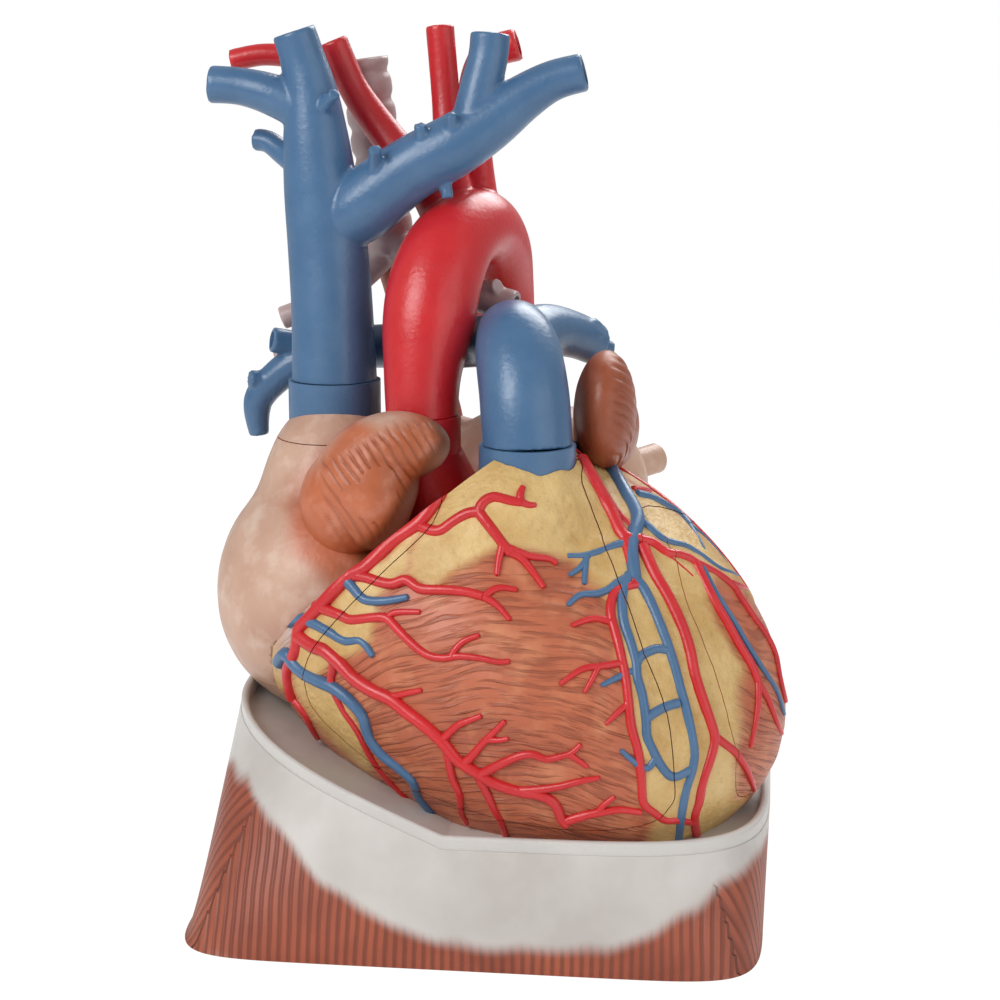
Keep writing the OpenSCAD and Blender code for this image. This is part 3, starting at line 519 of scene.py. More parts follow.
# %% Traced vessels
TRUNK, BRANCH, TWIG = 3.1, 2.2, 1.3
THICK = 1.22                       # the painted vessels are this much thicker than traced
ARTERIES = [
    ([(447, 478), (439, 498), (421, 523), (392, 544), (367, 568), (351, 576), (333, 594),
      (313, 616), (301, 629), (298, 649), (293, 660), (289, 672), (291, 687), (294, 698)],
     TRUNK, 2.4),
    ([(294, 698), (306, 713), (314, 730), (324, 745), (340, 759), (356, 777)], 1.8, TWIG),
    ([(419, 526), (431, 531), (442, 531), (456, 521), (469, 514), (481, 513)], BRANCH, BRANCH),
    ([(479, 513), (483, 504), (493, 498), (504, 500), (517, 503), (523, 503)], BRANCH, 1.9),
    ([(521, 503), (520, 496), (523, 487)], 1.8, 1.2),
    ([(521, 503), (530, 506), (537, 505)], 1.7, 1.1),
    ([(480, 514), (493, 531), (502, 543), (511, 554)], BRANCH, 1.9),
    ([(503, 545), (499, 560), (497, 576)], 1.7, 1.1),
    ([(509, 552), (522, 559), (535, 575), (544, 588)], 1.8, 1.1),
    ([(505, 547), (528, 556), (549, 559), (557, 564)], 1.7, 1.1),
    ([(351, 576), (367, 578), (383, 583), (395, 584), (407, 580), (421, 589), (444, 590),
      (466, 592), (485, 597)], BRANCH, 1.7),
    ([(484, 597), (498, 588), (518, 590)], 1.5, 1.0),
    ([(484, 597), (497, 605), (511, 621)], 1.5, 1.0),
    ([(316, 606), (341, 615), (352, 620), (372, 618), (387, 618), (398, 629), (413, 644),
      (428, 655), (444, 658), (459, 656), (480, 658), (498, 662), (511, 661)], BRANCH, 1.0),
    ([(388, 619), (392, 614), (401, 612), (421, 612)], 1.4, 1.0),
    ([(452, 656), (455, 650), (464, 641), (480, 635)], 1.4, 1.0),
    ([(300, 636), (315, 646), (326, 650), (340, 662), (355, 678), (373, 690), (392, 699),
      (407, 711), (428, 727), (444, 742), (458, 759), (476, 771), (496, 783), (521, 791),
      (539, 794), (554, 802), (562, 819), (567, 824)], 2.9, 1.9),
    ([(376, 692), (392, 696), (407, 693), (422, 690)], 1.6, 1.0),
    ([(332, 657), (334, 668), (332, 682), (343, 707), (358, 730), (370, 754), (379, 768),
      (394, 785), (410, 800)], 1.7, 1.1),
    ([(441, 741), (445, 737), (458, 725), (470, 720), (483, 715)], 1.7, 1.0),
    ([(464, 763), (472, 756), (483, 743), (493, 733), (506, 720)], 1.8, 1.0),
    ([(487, 739), (499, 740), (509, 738)], 1.3, 0.9),
    ([(480, 774), (496, 766), (518, 756), (533, 754), (546, 759), (561, 756), (571, 753),
      (581, 744)], 1.9, 1.0),
    ([(569, 754), (578, 760), (589, 768)], 1.3, 0.9),
    ([(519, 790), (537, 789), (559, 786), (579, 781), (601, 777)], 1.8, 1.0),
    ([(446, 745), (449, 758), (453, 778), (460, 794), (461, 811), (468, 824)], 1.8, 1.0),
    ([(478, 774), (488, 794), (496, 812), (501, 821), (506, 836)], 1.8, 1.1),
    ([(566, 820), (587, 814), (604, 811), (620, 809), (642, 812)], 1.9, 1.2),
    ([(597, 812), (603, 805), (615, 796)], 1.4, 0.9),
    # left coronary, its anterior branch and the left wall
    ([(580, 462), (596, 490), (610, 514), (623, 538), (640, 540)], 3.3, 2.6),
    ([(623, 538), (629, 560), (634, 586)], 2.4, 1.8),
    ([(641, 547), (653, 574), (667, 598), (679, 623), (688, 649), (693, 674), (701, 699),
      (709, 722), (713, 738), (709, 757), (701, 781), (698, 799), (693, 816), (696, 838)],
     2.6, 1.9),
    ([(712, 735), (724, 744), (736, 754), (747, 771), (756, 796)], 1.9, 1.0),
    ([(640, 541), (652, 544), (666, 554), (679, 556), (693, 563), (701, 578), (714, 603),
      (726, 623), (739, 646), (751, 666), (757, 682)], 2.2, 1.7),
    ([(757, 680), (757, 706), (754, 727), (750, 747)], 1.5, 0.9),
    ([(757, 682), (767, 699), (777, 724), (785, 741), (789, 755)], 1.5, 0.9),
    ([(686, 559), (698, 565), (717, 575), (731, 586), (742, 602), (753, 618), (764, 633),
      (774, 653), (779, 677), (785, 701)], 1.9, 1.0),
    ([(731, 584), (743, 588), (756, 595), (769, 610), (776, 626), (779, 646)], 1.6, 1.0),
    ([(633, 492), (653, 493), (676, 506), (701, 524), (711, 532), (722, 546)], 2.2, 1.2),
    ([(636, 585), (623, 588), (613, 595), (610, 613), (615, 633), (620, 653), (625, 677),
      (628, 702), (631, 727), (638, 752), (641, 780), (643, 802), (653, 811), (664, 819),
      (676, 819), (691, 821)], 1.9, 1.6),
    ([(611, 622), (600, 619), (590, 619), (570, 626)], 1.5, 0.9),
    ([(621, 663), (601, 666), (582, 669), (560, 684)], 1.5, 0.9),
    ([(598, 667), (591, 681), (583, 694)], 1.2, 0.8),
    ([(627, 704), (616, 714), (606, 724)], 1.3, 0.8),
]
VEINS = [
    ([(326, 588), (327, 579), (334, 574), (344, 577), (354, 588), (366, 600), (387, 601),
      (409, 597)], 2.6, 1.3),
    ([(290, 622), (301, 618), (316, 624), (329, 631), (346, 641), (362, 641), (374, 657)],
     2.5, 1.3),
    ([(281, 662), (288, 654), (297, 665), (306, 673), (321, 681), (336, 688), (352, 701),
      (364, 716), (370, 736), (382, 753), (398, 766), (413, 780), (418, 794), (428, 807),
      (438, 817)], 2.9, 1.5),
    # great cardiac vein with its two rails and their rungs
    ([(603, 460), (620, 488), (636, 517), (633, 534), (630, 548), (632, 566), (634, 580)],
     3.2, 2.7),
    ([(633, 578), (643, 590), (653, 611), (663, 636), (669, 653), (674, 669), (679, 689),
      (683, 702), (689, 727), (693, 752), (691, 769), (686, 784), (683, 798), (680, 816),
      (677, 842)], 2.2, 1.8),
    ([(629, 575), (622, 590), (621, 603), (623, 623), (630, 644), (635, 664), (636, 677),
      (641, 694), (645, 719), (646, 736), (653, 752), (663, 769), (673, 776), (689, 769)],
     2.1, 1.8),
    ([(635, 664), (640, 656), (647, 652), (656, 649), (669, 651)], 1.9, 1.9),
    ([(645, 719), (651, 714), (663, 707), (679, 702)], 1.9, 1.9),
    ([(630, 545), (620, 545), (605, 550), (585, 556), (566, 556)], 2.0, 1.1),
    ([(588, 555), (581, 567), (568, 576)], 1.4, 0.9),
    ([(586, 556), (585, 569), (584, 586)], 1.4, 0.9),
    ([(629, 577), (616, 584), (608, 590), (596, 594), (580, 595), (568, 605)], 1.9, 1.0),
    ([(636, 669), (626, 673), (618, 677), (600, 686)], 1.5, 0.9),
    ([(655, 757), (646, 768), (631, 759), (620, 749)], 1.6, 0.9),
    ([(636, 496), (653, 501), (676, 514), (689, 527)], 2.3, 1.8),
    ([(688, 526), (697, 539), (704, 551)], 1.5, 0.9),
    ([(688, 526), (708, 543), (726, 564)], 1.5, 0.9),
    ([(636, 520), (645, 526), (663, 541), (684, 547), (701, 557), (718, 569), (736, 576),
      (751, 589), (764, 605)], 2.0, 1.0),
    ([(700, 566), (706, 578), (717, 598), (731, 619), (746, 644), (762, 669), (776, 691),
      (785, 719), (792, 741)], 1.6, 0.9),
]
# the same on the back, in the heart's own axes as [angle from the apex, angle round the axis]
BACK_ARTERIES = [
    ([(122, 205), (110, 190), (96, 178), (78, 172), (58, 170), (36, 172), (20, 178)], 2.6, 1.2),
    ([(92, 176), (86, 160), (76, 148), (66, 142)], 1.7, 0.9),
    ([(74, 172), (66, 190), (56, 202), (48, 214)], 1.7, 0.9),
    ([(118, 60), (112, 90), (108, 118), (104, 142)], 2.5, 1.4),
    ([(112, 92), (92, 84), (72, 80), (52, 84)], 2.0, 1.0),
    ([(108, 120), (88, 118), (66, 116), (46, 120)], 2.0, 1.0),
]
BACK_VEINS = [
    ([(118, 212), (106, 196), (92, 184), (76, 178), (58, 176), (40, 179), (24, 186)], 2.7, 1.3),
    ([(122, 66), (117, 92), (113, 120), (111, 146), (114, 172)], 3.2, 3.6),
    ([(113, 120), (96, 128), (76, 130), (54, 134)], 1.9, 1.0),
    ([(84, 181), (74, 196), (62, 210)], 1.6, 0.9),
]


def on_heart(d):
    """Point of the plain heart in the heart's own direction d (n, 3)."""
    return from_heart(reach([0, 0, 0], d, VENTRICLES)[:, None] * d)


def lay(points, r0, r1):
    """Rows [x, y, z, radius] about a millimetre apart along points on the heart."""
    p = np.asarray(points, float)
    step = np.linalg.norm(np.diff(p, axis=0), axis=1)
    along = np.concatenate([[0], np.cumsum(step)])
    keep = np.concatenate([[True], step > 1e-6])
    p, along = p[keep], along[keep]
    s = np.arange(0, along[-1], 1.0)
    q = np.stack([np.interp(s, along, p[:, i]) for i in range(3)], 1)
    for _ in range(2):
        q[1:-1] = 0.25 * q[:-2] + 0.5 * q[1:-1] + 0.25 * q[2:]
    r = r0 + (r1 - r0) * np.linspace(0, 1, len(q)) ** 1.2
    return np.column_stack([q, THICK * r])


def traced(pixels, r0, r1):
    """Rows of a vessel whose pixels are cast from the camera onto the plain heart."""
    hits = []
    for px, py in bow(pixels, 6):
        at = plain_tree.ray_cast(CAM_AT.tolist(), pixel_ray(px, py).tolist())[0]
        if at is not None:
            hits.append(at)
    return lay(hits, r0, r1)


def by_angles(rows, r0, r1):
    """Rows of a vessel given by angles from the apex and round the heart's long axis."""
    a, b = np.radians(bow(rows, 10)).T
    d = np.stack([np.cos(a), -np.sin(a) * np.cos(b), np.sin(a) * np.sin(b)], 1)
    return lay(on_heart(d), r0, r1)


arteries = [traced(*v) for v in ARTERIES] + [by_angles(*v) for v in BACK_ARTERIES]
veins = [traced(*v) for v in VEINS] + [by_angles(*v) for v in BACK_VEINS]
print(len(arteries), "arteries and", len(veins), "veins")

# %% [markdown]
# ## Paint
# The model is moulded plastic, painted by hand and sealed with a satin coat. Every paint has a
# slow drift of shade, a fine mottle where the brush went, and a slightly uneven surface.
# Sizes in the shaders are real millimetres, turned into texture scales.

# %% Shader helpers
def linear(code):
    """An sRGB hex colour as linear light, with alpha 1."""
    c = np.array([int(code[i:i + 2], 16) for i in (1, 3, 5)]) / 255
    c = np.where(c <= 0.04045, c / 12.92, ((c + 0.055) / 1.055) ** 2.4)
    return (*c.tolist(), 1.0)


def node(mat, kind, inputs=None, **settings):
    """Adds a shader node; an input is a number, a colour or another node's output."""
    n = mat.node_tree.nodes.new("ShaderNode" + kind)
    for key, value in settings.items():
        setattr(n, key, value)
    for key, value in (inputs or {}).items():
        if isinstance(value, bpy.types.NodeSocket):
            mat.node_tree.links.new(value, n.inputs[key])
        else:
            n.inputs[key].default_value = value
    return n


def maths(mat, how, a, b=0.0):
    """One sum on numbers or outputs."""
    return node(mat, "Math", {0: a, 1: b}, operation=how).outputs[0]


def mix(mat, factor, a, b):
    """Colour a where the factor is 0, b where it is 1."""
    return node(mat, "Mix", {0: factor, 6: a, 7: b}, data_type="RGBA").outputs[2]


def cloud(mat, where, size, low=0.35, high=0.65, detail=3.0):
    """Noise with lumps about size mm across, stretched so that low..high fills 0..1."""
    n = node(mat, "TexNoise", {"Vector": where, "Scale": 1000 / size, "Detail": detail})
    return node(mat, "MapRange", {0: n.outputs[0], 1: low, 2: high}).outputs[0]


def value_of(mat, name):
    """A number stored on the mesh's points."""
    return node(mat, "Attribute", attribute_name=name).outputs["Fac"]


def new_paint(name):
    """An empty material and the place on the object, in metres."""
    mat = bpy.data.materials.new(name)
    mat.use_nodes = True
    mat.node_tree.nodes.clear()
    return mat, node(mat, "TexCoord").outputs["Object"]


def seal(mat, colour, rough, height, depth, coat=0.12):
    """Joins colour, roughness and a bump of depth mm to a sealed paint surface."""
    bump = node(mat, "Bump", {"Height": height, "Distance": depth * MM, "Strength": 1.0})
    body = node(mat, "BsdfPrincipled", {
        "Base Color": colour, "Roughness": rough, "Normal": bump.outputs[0],
        "Metallic": 0.0, "IOR": 1.48, "Coat Weight": coat, "Coat Roughness": 0.28})
    node(mat, "OutputMaterial", {0: body.outputs[0]})
    return mat


def paint(name, main, shade, light, rough=0.40, drift=45.0, grain=2.2, depth=0.12, coat=0.12):
    """Satin paint in one colour: shade and light drift in, and the brush leaves a grain."""
    mat, where = new_paint(name)
    slow = maths(mat, "MULTIPLY", cloud(mat, where, drift, 0.3, 0.8), 0.45)
    colour = mix(mat, slow, linear(main), linear(shade))
    colour = mix(mat, maths(mat, "MULTIPLY", cloud(mat, where, drift / 3, 0.4, 0.9), 0.18),
                 colour, linear(light))
    colour = mix(mat, maths(mat, "MULTIPLY", cloud(mat, where, grain, 0.5, 0.8), 0.12),
                 colour, linear(shade))
    gloss = maths(mat, "ADD", maths(mat, "MULTIPLY", cloud(mat, where, 8), 0.12), rough - 0.06)
    return seal(mat, colour, gloss, cloud(mat, where, grain, 0.2, 0.8), depth, coat)


def heart_paint():
    """Muscle with streaks along its fibres, and fat laid over it.

    The mesh stores fat and pale (0 to 1), and for the fibres two lengths in millimetres:
    strand across them and run along them. Noise on (run / 22, strand / 2.1) gives streaks
    ten times as long as they are wide. Their grooves are painted darker, as painted shade."""
    mat, where = new_paint("muscle_and_fat_paint")
    fat, pale = value_of(mat, "fat"), value_of(mat, "pale")
    across, along = value_of(mat, "strand"), value_of(mat, "run")
    bend = maths(mat, "MULTIPLY", cloud(mat, where, 30, 0.0, 1.0, 1.0), 9.0)
    across = maths(mat, "ADD", across, bend)
    cell = node(mat, "CombineXYZ", {0: maths(mat, "DIVIDE", along, 22.0),
                                    1: maths(mat, "DIVIDE", across, 2.1)}).outputs[0]
    streak = node(mat, "TexNoise", {"Vector": cell, "Scale": 1.0, "Detail": 2.0}).outputs[0]
    groove = node(mat, "MapRange", {0: streak, 1: 0.52, 2: 0.36}).outputs[0]
    muscle = mix(mat, cloud(mat, where, 60), linear("#C06A48"), linear("#A9583A"))
    muscle = mix(mat, cloud(mat, where, 14, 0.5, 0.8), muscle, linear("#D08860"))
    # painted shade: the grooves between the fibres are painted darker
    muscle = mix(mat, maths(mat, "MULTIPLY", groove, 0.6), muscle, linear("#8A452D"))
    tallow = mix(mat, cloud(mat, where, 26), linear("#D8B678"), linear("#C49C5C"))
    tallow = mix(mat, maths(mat, "MULTIPLY", cloud(mat, where, 7, 0.45, 0.9), 0.4), tallow,
                 linear("#E6CB94"))
    tallow = mix(mat, maths(mat, "MULTIPLY", cloud(mat, where, 2.6, 0.55, 0.85), 0.5),
                 tallow, linear("#B08C50"))
    colour = mix(mat, fat, muscle, tallow)
    colour = mix(mat, pale, colour, linear("#C9AFA3"))
    rise = maths(mat, "MULTIPLY", maths(mat, "SUBTRACT", 1.0, groove),
                 maths(mat, "SUBTRACT", 1.0, fat))
    lumps = maths(mat, "MULTIPLY", cloud(mat, where, 3.2, 0.2, 0.8), fat)
    rough = maths(mat, "ADD", 0.42, maths(mat, "MULTIPLY", fat, 0.08))
    return seal(mat, colour, rough, maths(mat, "ADD", rise, lumps), 0.55, 0.10)


def atrium_paint():
    """Pale flesh that runs into the auricle's orange, with painted shade: darker in the comb's
    grooves and along the auricle's lower right rim.
    """
    mat, where = new_paint("atrium_and_auricle_paint")
    flesh = mix(mat, cloud(mat, where, 50), linear("#CDA992"), linear("#BC927C"))
    flesh = mix(mat, cloud(mat, where, 12, 0.5, 0.85), flesh, linear("#DCC3B2"))
    ripe = mix(mat, cloud(mat, where, 30), linear("#C06A44"), linear("#A5552F"))
    ripe = mix(mat, cloud(mat, where, 9, 0.5, 0.85), ripe, linear("#CC8468"))
    # painted shade along the auricle's lower right rim
    ripe = mix(mat, value_of(mat, "edge"), ripe, linear("#7A4220"))
    colour = mix(mat, value_of(mat, "orange"), flesh, ripe)
    # painted shade in the comb's grooves
    colour = mix(mat, maths(mat, "MULTIPLY", value_of(mat, "comb"), 0.55), colour,
                 linear("#7E3F24"))
    return seal(mat, colour, 0.42, cloud(mat, where, 3, 0.2, 0.8), 0.15, 0.10)


def base_paint():
    """Grey-white tendon above, ribbed red-brown muscle below, with a soft edge between.
    The grooves between the ribs are painted darker, as painted shade.

    The mesh stores flesh (0 tendon, 1 muscle) and rib, the way round the block in mm."""
    mat, where = new_paint("diaphragm_paint")
    flesh, around = value_of(mat, "flesh"), value_of(mat, "rib")
    sway = maths(mat, "MULTIPLY", cloud(mat, where, 40, 0.0, 1.0, 1.0), 3.0)
    wave = maths(mat, "SINE", maths(mat, "MULTIPLY", maths(mat, "ADD", around, sway),
                                    2 * math.pi / 4.4))
    rib = node(mat, "MapRange", {0: wave, 1: 0.2, 2: -1.0}).outputs[0]
    tendon = mix(mat, cloud(mat, where, 50), linear("#CFCAC4"), linear("#BDB6B0"))
    tendon = mix(mat, maths(mat, "MULTIPLY", cloud(mat, where, 12, 0.45, 0.9), 0.3), tendon,
                 linear("#DAD7D2"))
    meat = mix(mat, cloud(mat, where, 35), linear("#A9573B"), linear("#93472F"))
    # painted shade: the grooves between the ribs are painted darker
    meat = mix(mat, maths(mat, "MULTIPLY", rib, 0.7), meat, linear("#6E3222"))
    colour = mix(mat, flesh, tendon, meat)
    rise = maths(mat, "MULTIPLY", maths(mat, "SUBTRACT", 1.0, rib), flesh)
    return seal(mat, colour, 0.45, rise, 0.6, 0.10)


def steel():
    """Turned steel of the pins and screws, with a fine grain of about 1 mm."""
    mat, where = new_paint("brushed_steel")
    rough = maths(mat, "ADD", 0.22, maths(mat, "MULTIPLY", cloud(mat, where, 1.5), 0.15))
    bump = node(mat, "Bump", {"Height": cloud(mat, where, 0.8), "Distance": 0.05 * MM})
    body = node(mat, "BsdfPrincipled", {"Base Color": linear("#B8BCC0"), "Metallic": 1.0,
                                        "Roughness": rough, "Normal": bump.outputs[0]})
    node(mat, "OutputMaterial", {0: body.outputs[0]})
    return mat


RED = paint("artery_red_satin_paint", "#CF2026", "#A3151B", "#E2473F", 0.34, coat=0.25)
BLUE = paint("vein_blue_satin_paint", "#466B90", "#34567A", "#6F92B4", 0.34, coat=0.25)
HEART = heart_paint()
ATRIA = atrium_paint()
CUT = paint("cut_muscle_paint", "#B4573F", "#96402C", "#C97A5C", 0.46, depth=0.25)
BEAN = paint("left_auricle_paint", "#9A4C2C", "#74351B", "#BF7A58", 0.42, 22.0)
AIRWAY = paint("windpipe_paint", "#BFA7A4", "#9A7F7D", "#D6C6C3", 0.42, 30.0)
GULLET = paint("gullet_paint", "#A8573C", "#8A4330", "#C07A5E", 0.46)
CREAM = paint("valve_paint", "#E6D2B4", "#CDB48E", "#F2E6D0", 0.45)
TENDON = paint("pericardium_paint", "#CFCBC6", "#B5AFA9", "#E2E0DC", 0.42)
BOARD = paint("base_board_plastic", "#4A4A4A", "#3C3C3C", "#5C5C5C", 0.55)
BASE = base_paint()
STEEL = steel()
print(len(bpy.data.materials), "materials")

# %% [markdown]
# ## Where the fat lies
# Outlines read off the photograph say where fat covers the muscle, as seen by the camera.
# The far side has fat along its vessels and its groove.

# %% Fat, fibres and relief
FAT = [(463, 440), (448, 482), (438, 501), (428, 524), (412, 548), (404, 574), (430, 590),
       (465, 565), (500, 547), (535, 550), (570, 560), (590, 575), (604, 592), (611, 613),
       (616, 640), (623, 670), (629, 702), (633, 735), (641, 765), (644, 800), (655, 814),
       (648, 852), (700, 852), (765, 838), (776, 812), (770, 801), (737, 800), (735, 770),
       (733, 750), (742, 730), (738, 705), (741, 690), (744, 668), (735, 655), (722, 630),
       (709, 600), (716, 578), (742, 592), (735, 568), (705, 532), (680, 502), (650, 480),
       (625, 470), (600, 440), (560, 425), (480, 430)]
LEFT_FAT = [(430, 520), (412, 548), (404, 574), (390, 586), (372, 600), (378, 616), (372, 640),
            (352, 656), (330, 666), (318, 679), (335, 691), (350, 706), (362, 736), (372, 765),
            (372, 792), (350, 786), (320, 752), (296, 722), (290, 690), (300, 640), (312, 622),
            (335, 598), (360, 580), (385, 558), (415, 530)]
PALE = [(225, 700), (225, 560), (300, 540), (366, 552), (345, 574), (325, 594), (306, 616),
        (294, 640), (288, 672), (290, 700), (262, 720)]
CONUS = [(500, 452), (590, 455), (612, 545), (585, 556), (540, 545), (505, 520)]


def soft_inside(px, line, soft):
    """1 inside an outline of pixels, 0 outside, with an edge about 2 x soft pixels wide."""
    sign = np.where(inside(px, line), 1.0, -1.0)
    return smoothstep(-soft, soft, sign * edge_distance(px, line))


def near_rows(points, rows, step=3):
    """Distance of points from vessels, measured to their skins."""
    best = np.full(len(points), 1e9)
    for v in rows:
        for x, y, z, r in v[::step]:
            best = np.minimum(best, np.linalg.norm(points - [x, y, z], axis=1) - r)
    return best


def groove_side(p):
    """Distance of points from the groove's plane, towards the apex."""
    q = (p - HEART_AT) @ HEART_TURN
    c, s = math.cos(GROOVE_TILT), math.sin(GROOVE_TILT)
    return c * q[:, 0] - s * q[:, 2] - GROOVE_AT


def zones(p):
    """fat, pale and how much a point faces the camera, for points on the ventricles."""
    facing = smoothstep(0.02, 0.25, (unit(p - HEART_AT) * unit(CAM_AT - p)).sum(1))
    px = to_pixels(p)
    px = px + 3.0 * np.stack([noise(p, 9), noise(p + 50, 9)], 1)
    front = np.maximum(soft_inside(px, FAT, 9), soft_inside(px, LEFT_FAT, 6))
    pale = soft_inside(px, PALE, 7) * facing * (1 - front)
    behind = np.maximum(smoothstep(13, 6, near_rows(p, back_rows, 4) + 2 * noise(p, 12)),
                        smoothstep(24, 14, groove_side(p) + 3 * noise(p, 15)))
    return front * facing + behind * (1 - facing), pale, facing


def fibres(p):
    """Lengths across and along the muscle's fibres, which arch over the front."""
    x = p[:, 0] - 20
    return p[:, 2] + 0.0042 * x ** 2, x + 0.2 * p[:, 1] - 0.3 * (p[:, 2] - 125)


def mark_heart(obj):
    """Stores what the heart's paint reads."""
    p = verts_of(obj)
    fat, pale, _ = zones(p)
    across, along = fibres(p)
    for name, values in (("fat", fat), ("pale", pale), ("strand", across), ("run", along)):
        point_values(obj, name, values)


back_rows = [by_angles(*v) for v in BACK_ARTERIES + BACK_VEINS]
fat, pale, facing = zones(plain)
gap = near_rows(plain, arteries + veins)
px = to_pixels(plain)
lumpy = fat * (0.45 + 0.9 * soft_inside(px, CONUS, 14) * facing)
rise = lumpy * (0.7 * noise(plain, 9) + 0.5 * noise(plain, 4))
rise += 0.8 * fat * np.exp(-(np.maximum(gap, 0) / 3.0) ** 2)
rise += 0.35 * (1 - fat) * noise(np.stack([fibres(plain)[1] / 3, fibres(plain)[0],
                                            plain[:, 1] / 6], 1), 5)
rise += 0.5 * smoothstep(0.3, 0.7, fat)
rise *= smoothstep(0, 6, groove_side(plain))
skin = make("ventricles", plain + rise[:, None] * unit(plain - HEART_AT), quads, tris)
skin.data.materials.append(HEART)
print("share under fat:", round(float((fat > 0.5).mean()), 2))

# %% [markdown]
# ## Coronary vessels
# Tubes lie half sunk on the skin. They are melted to it before the seams are cut, so that
# every seam cuts cleanly through the vessels that cross it, as on the real model.

# %% Vessels on the skin
RAISED = 0.22                      # share of its radius by which a vessel's axis clears the skin


def vessel(rows, paint_):
    """A tube along rows, raised off the skin, with a rounded tip."""
    out = unit(rows[:, :3] - HEART_AT)
    p = rows.copy()
    p[:, :3] += out * rows[:, 3:] * RAISED
    obj = make("vessel", *sweep(p, 16, out, 0.6))
    obj.data.materials.append(paint_)
    return outward(obj)


reds = [vessel(r, RED) for r in arteries if len(r) > 3]
blues = [vessel(r, BLUE) for r in veins if len(r) > 3]
add(skin, add(*reds), add(*blues))
print("skin with vessels:", len(skin.data.vertices), "points")

# %% [markdown]
# ## Cutting the loose walls
# The seams, seats and ledges follow the part's source: a wall is what its outline cuts out
# along the way it slides, down to a core that is the heart's form drawn in by the wall.

# %% Cutters
def hull(points):
    """Convex hull of points, as an object."""
    bm = bmesh.new()
    for p in (np.asarray(points) * MM).tolist():
        bm.verts.new(p)
    bmesh.ops.convex_hull(bm, input=bm.verts, use_existing_faces=False)
    bmesh.ops.delete(bm, geom=[v for v in bm.verts if not v.link_faces], context="VERTS")
    mesh = bpy.data.meshes.new("hull")
    bm.to_mesh(mesh)
    bm.free()
    obj = bpy.data.objects.new("hull", mesh)
    bpy.context.scene.collection.objects.link(obj)
    return outward(obj)


def swept_hull(points, yaw):
    """Convex hull of points and of the same points moved back along a slide."""
    turn = math.radians(yaw)
    return hull(np.concatenate([points, points + 200 * np.array([-math.sin(turn), math.cos(turn),
                                                                 0])]))


def core(t, yaw):
    """What stays fixed behind a ventricle wall of thickness t."""
    return swept_hull(from_heart(star_points([0, 0, 0], VENTRICLES, t, 36, 54)[1]), yaw)


def atrium_core(t):
    """What stays fixed behind the atrium's wall of thickness t."""
    return swept_hull(star_points(ATRIUM_O, ATRIUM, t, 30, 45)[1], ATRIUM_YAW)


def groove_half(shift=0.0):
    """The half-space on the apex side of the groove, as a large box."""
    obj = box([GROOVE_AT + shift, -250, -250], [GROOVE_AT + 450, 250, 250])
    p = verts_of(obj)
    c, s = math.cos(GROOVE_TILT), math.sin(GROOVE_TILT)
    turned = np.stack([c * p[:, 0] + s * p[:, 2], p[:, 1], -s * p[:, 0] + c * p[:, 2]], 1)
    set_verts(obj, from_heart(turned))
    return obj


def post(at, low, r, top=400.0, back=0.0):
    """An upright cylinder, or one swept backwards to let a wall leave to the front."""
    a = np.linspace(0, 2 * math.pi, 64, endpoint=False)
    ring = np.stack([at[0] + r * np.cos(a), at[1] + r * np.sin(a), np.full(64, float(low))], 1)
    pts = np.concatenate([ring, ring + [0, 0, top - low]])
    if back:
        pts = np.concatenate([pts, pts + [0, back, 0]])
    return hull(pts)


def dome_z(x):
    """Height of the diaphragm's face at x."""
    return DOME_Z + DOME_SLOPE * np.maximum(DOME_CREASE - x, 0)


def dome_half(lift, far):
    """The room between the diaphragm's face, lifted, and a level plane at height far."""
    line = [[-400, far], [400, far], [400, DOME_Z + lift], [DOME_CREASE, DOME_Z + lift],
            [-400, float(dome_z(-400.0)) + lift]]
    return prism(line, 0, 300, 0, 600)


def below_dome(lift=0.0):
    """Everything below the diaphragm's face."""
    return dome_half(lift, -100)


def pins(places, yaw, wall_t, r, length):
    """Short cylinders along a wall's slide, whose seats are the ledges."""
    out = []
    c, s = math.cos(math.radians(yaw)), math.sin(math.radians(yaw))
    form = from_heart(star_points([0, 0, 0], VENTRICLES, wall_t, 60, 90)[1])
    q = seen_along(form, yaw)
    for u, z in places:
        close = np.linalg.norm(q[:, [0, 2]] - [u, z], axis=1) + 1000 * (q[:, 1] > 0)
        y = q[np.argmin(close), 1]
        a = np.linspace(0, 2 * math.pi, 32, endpoint=False)
        ring = [[u + r * math.cos(t), y + d, z + r * math.sin(t)] for d in (3, -length) for t in a]
        w = np.asarray(ring)
        out.append(hull(np.stack([c * w[:, 0] - s * w[:, 1], s * w[:, 0] + c * w[:, 1],
                                  w[:, 2]], 1)))
    return out


def finish(obj, name, body, slot, *nodes):
    """Names a piece, lets it ride on its body and stand for its CAD nodes."""
    obj.name = name
    shade(obj)
    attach(obj, body)
    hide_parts(*nodes)
    print(name + ":", len(obj.data.vertices), "points")
    return obj


# %% [markdown]
# ## The loose walls and the heart's body
# The two ventricle walls are cut out of copies of the dressed skin, so fibres, fat and
# vessels run on across every seam. What is left becomes the body, with the atria, the
# stumps of the lung veins, the chamber and the bores of the valves.

# %% Walls
meet(skin, groove_half())
RIGHT_PINS = [[-66, 114], [84, 104], [32, 190]]
LEFT_PINS = [[26, 166], [54, 118], [34, 76]]
PIN_R, PIN_HOLE = 2.8, 4.6

right_wall = copy_of(skin, "right_wall")
meet(right_wall, prism(RIGHT_CURVE, RIGHT_YAW, RIGHT_BACK))
cut(right_wall, core(RIGHT_WALL_T, RIGHT_YAW),
    post(TRUNK_SEAM, TRUNK_LOW - SEAT_GAP, TRUNK_R + ROOT_STEP + SEAT_GAP, back=200),
    post(AORTA_SEAM, AORTA_LOW - SEAT_GAP, AORTA_R + ROOT_STEP + SEAT_GAP, back=200),
    *pins(RIGHT_PINS, RIGHT_YAW, RIGHT_WALL_T, PIN_R, PIN_HOLE))
mark_heart(right_wall)
finish(right_wall, "right_ventricle_wall_painted", "right_ventricle_cover", "muscle_brown",
       "right_ventricle_wall")

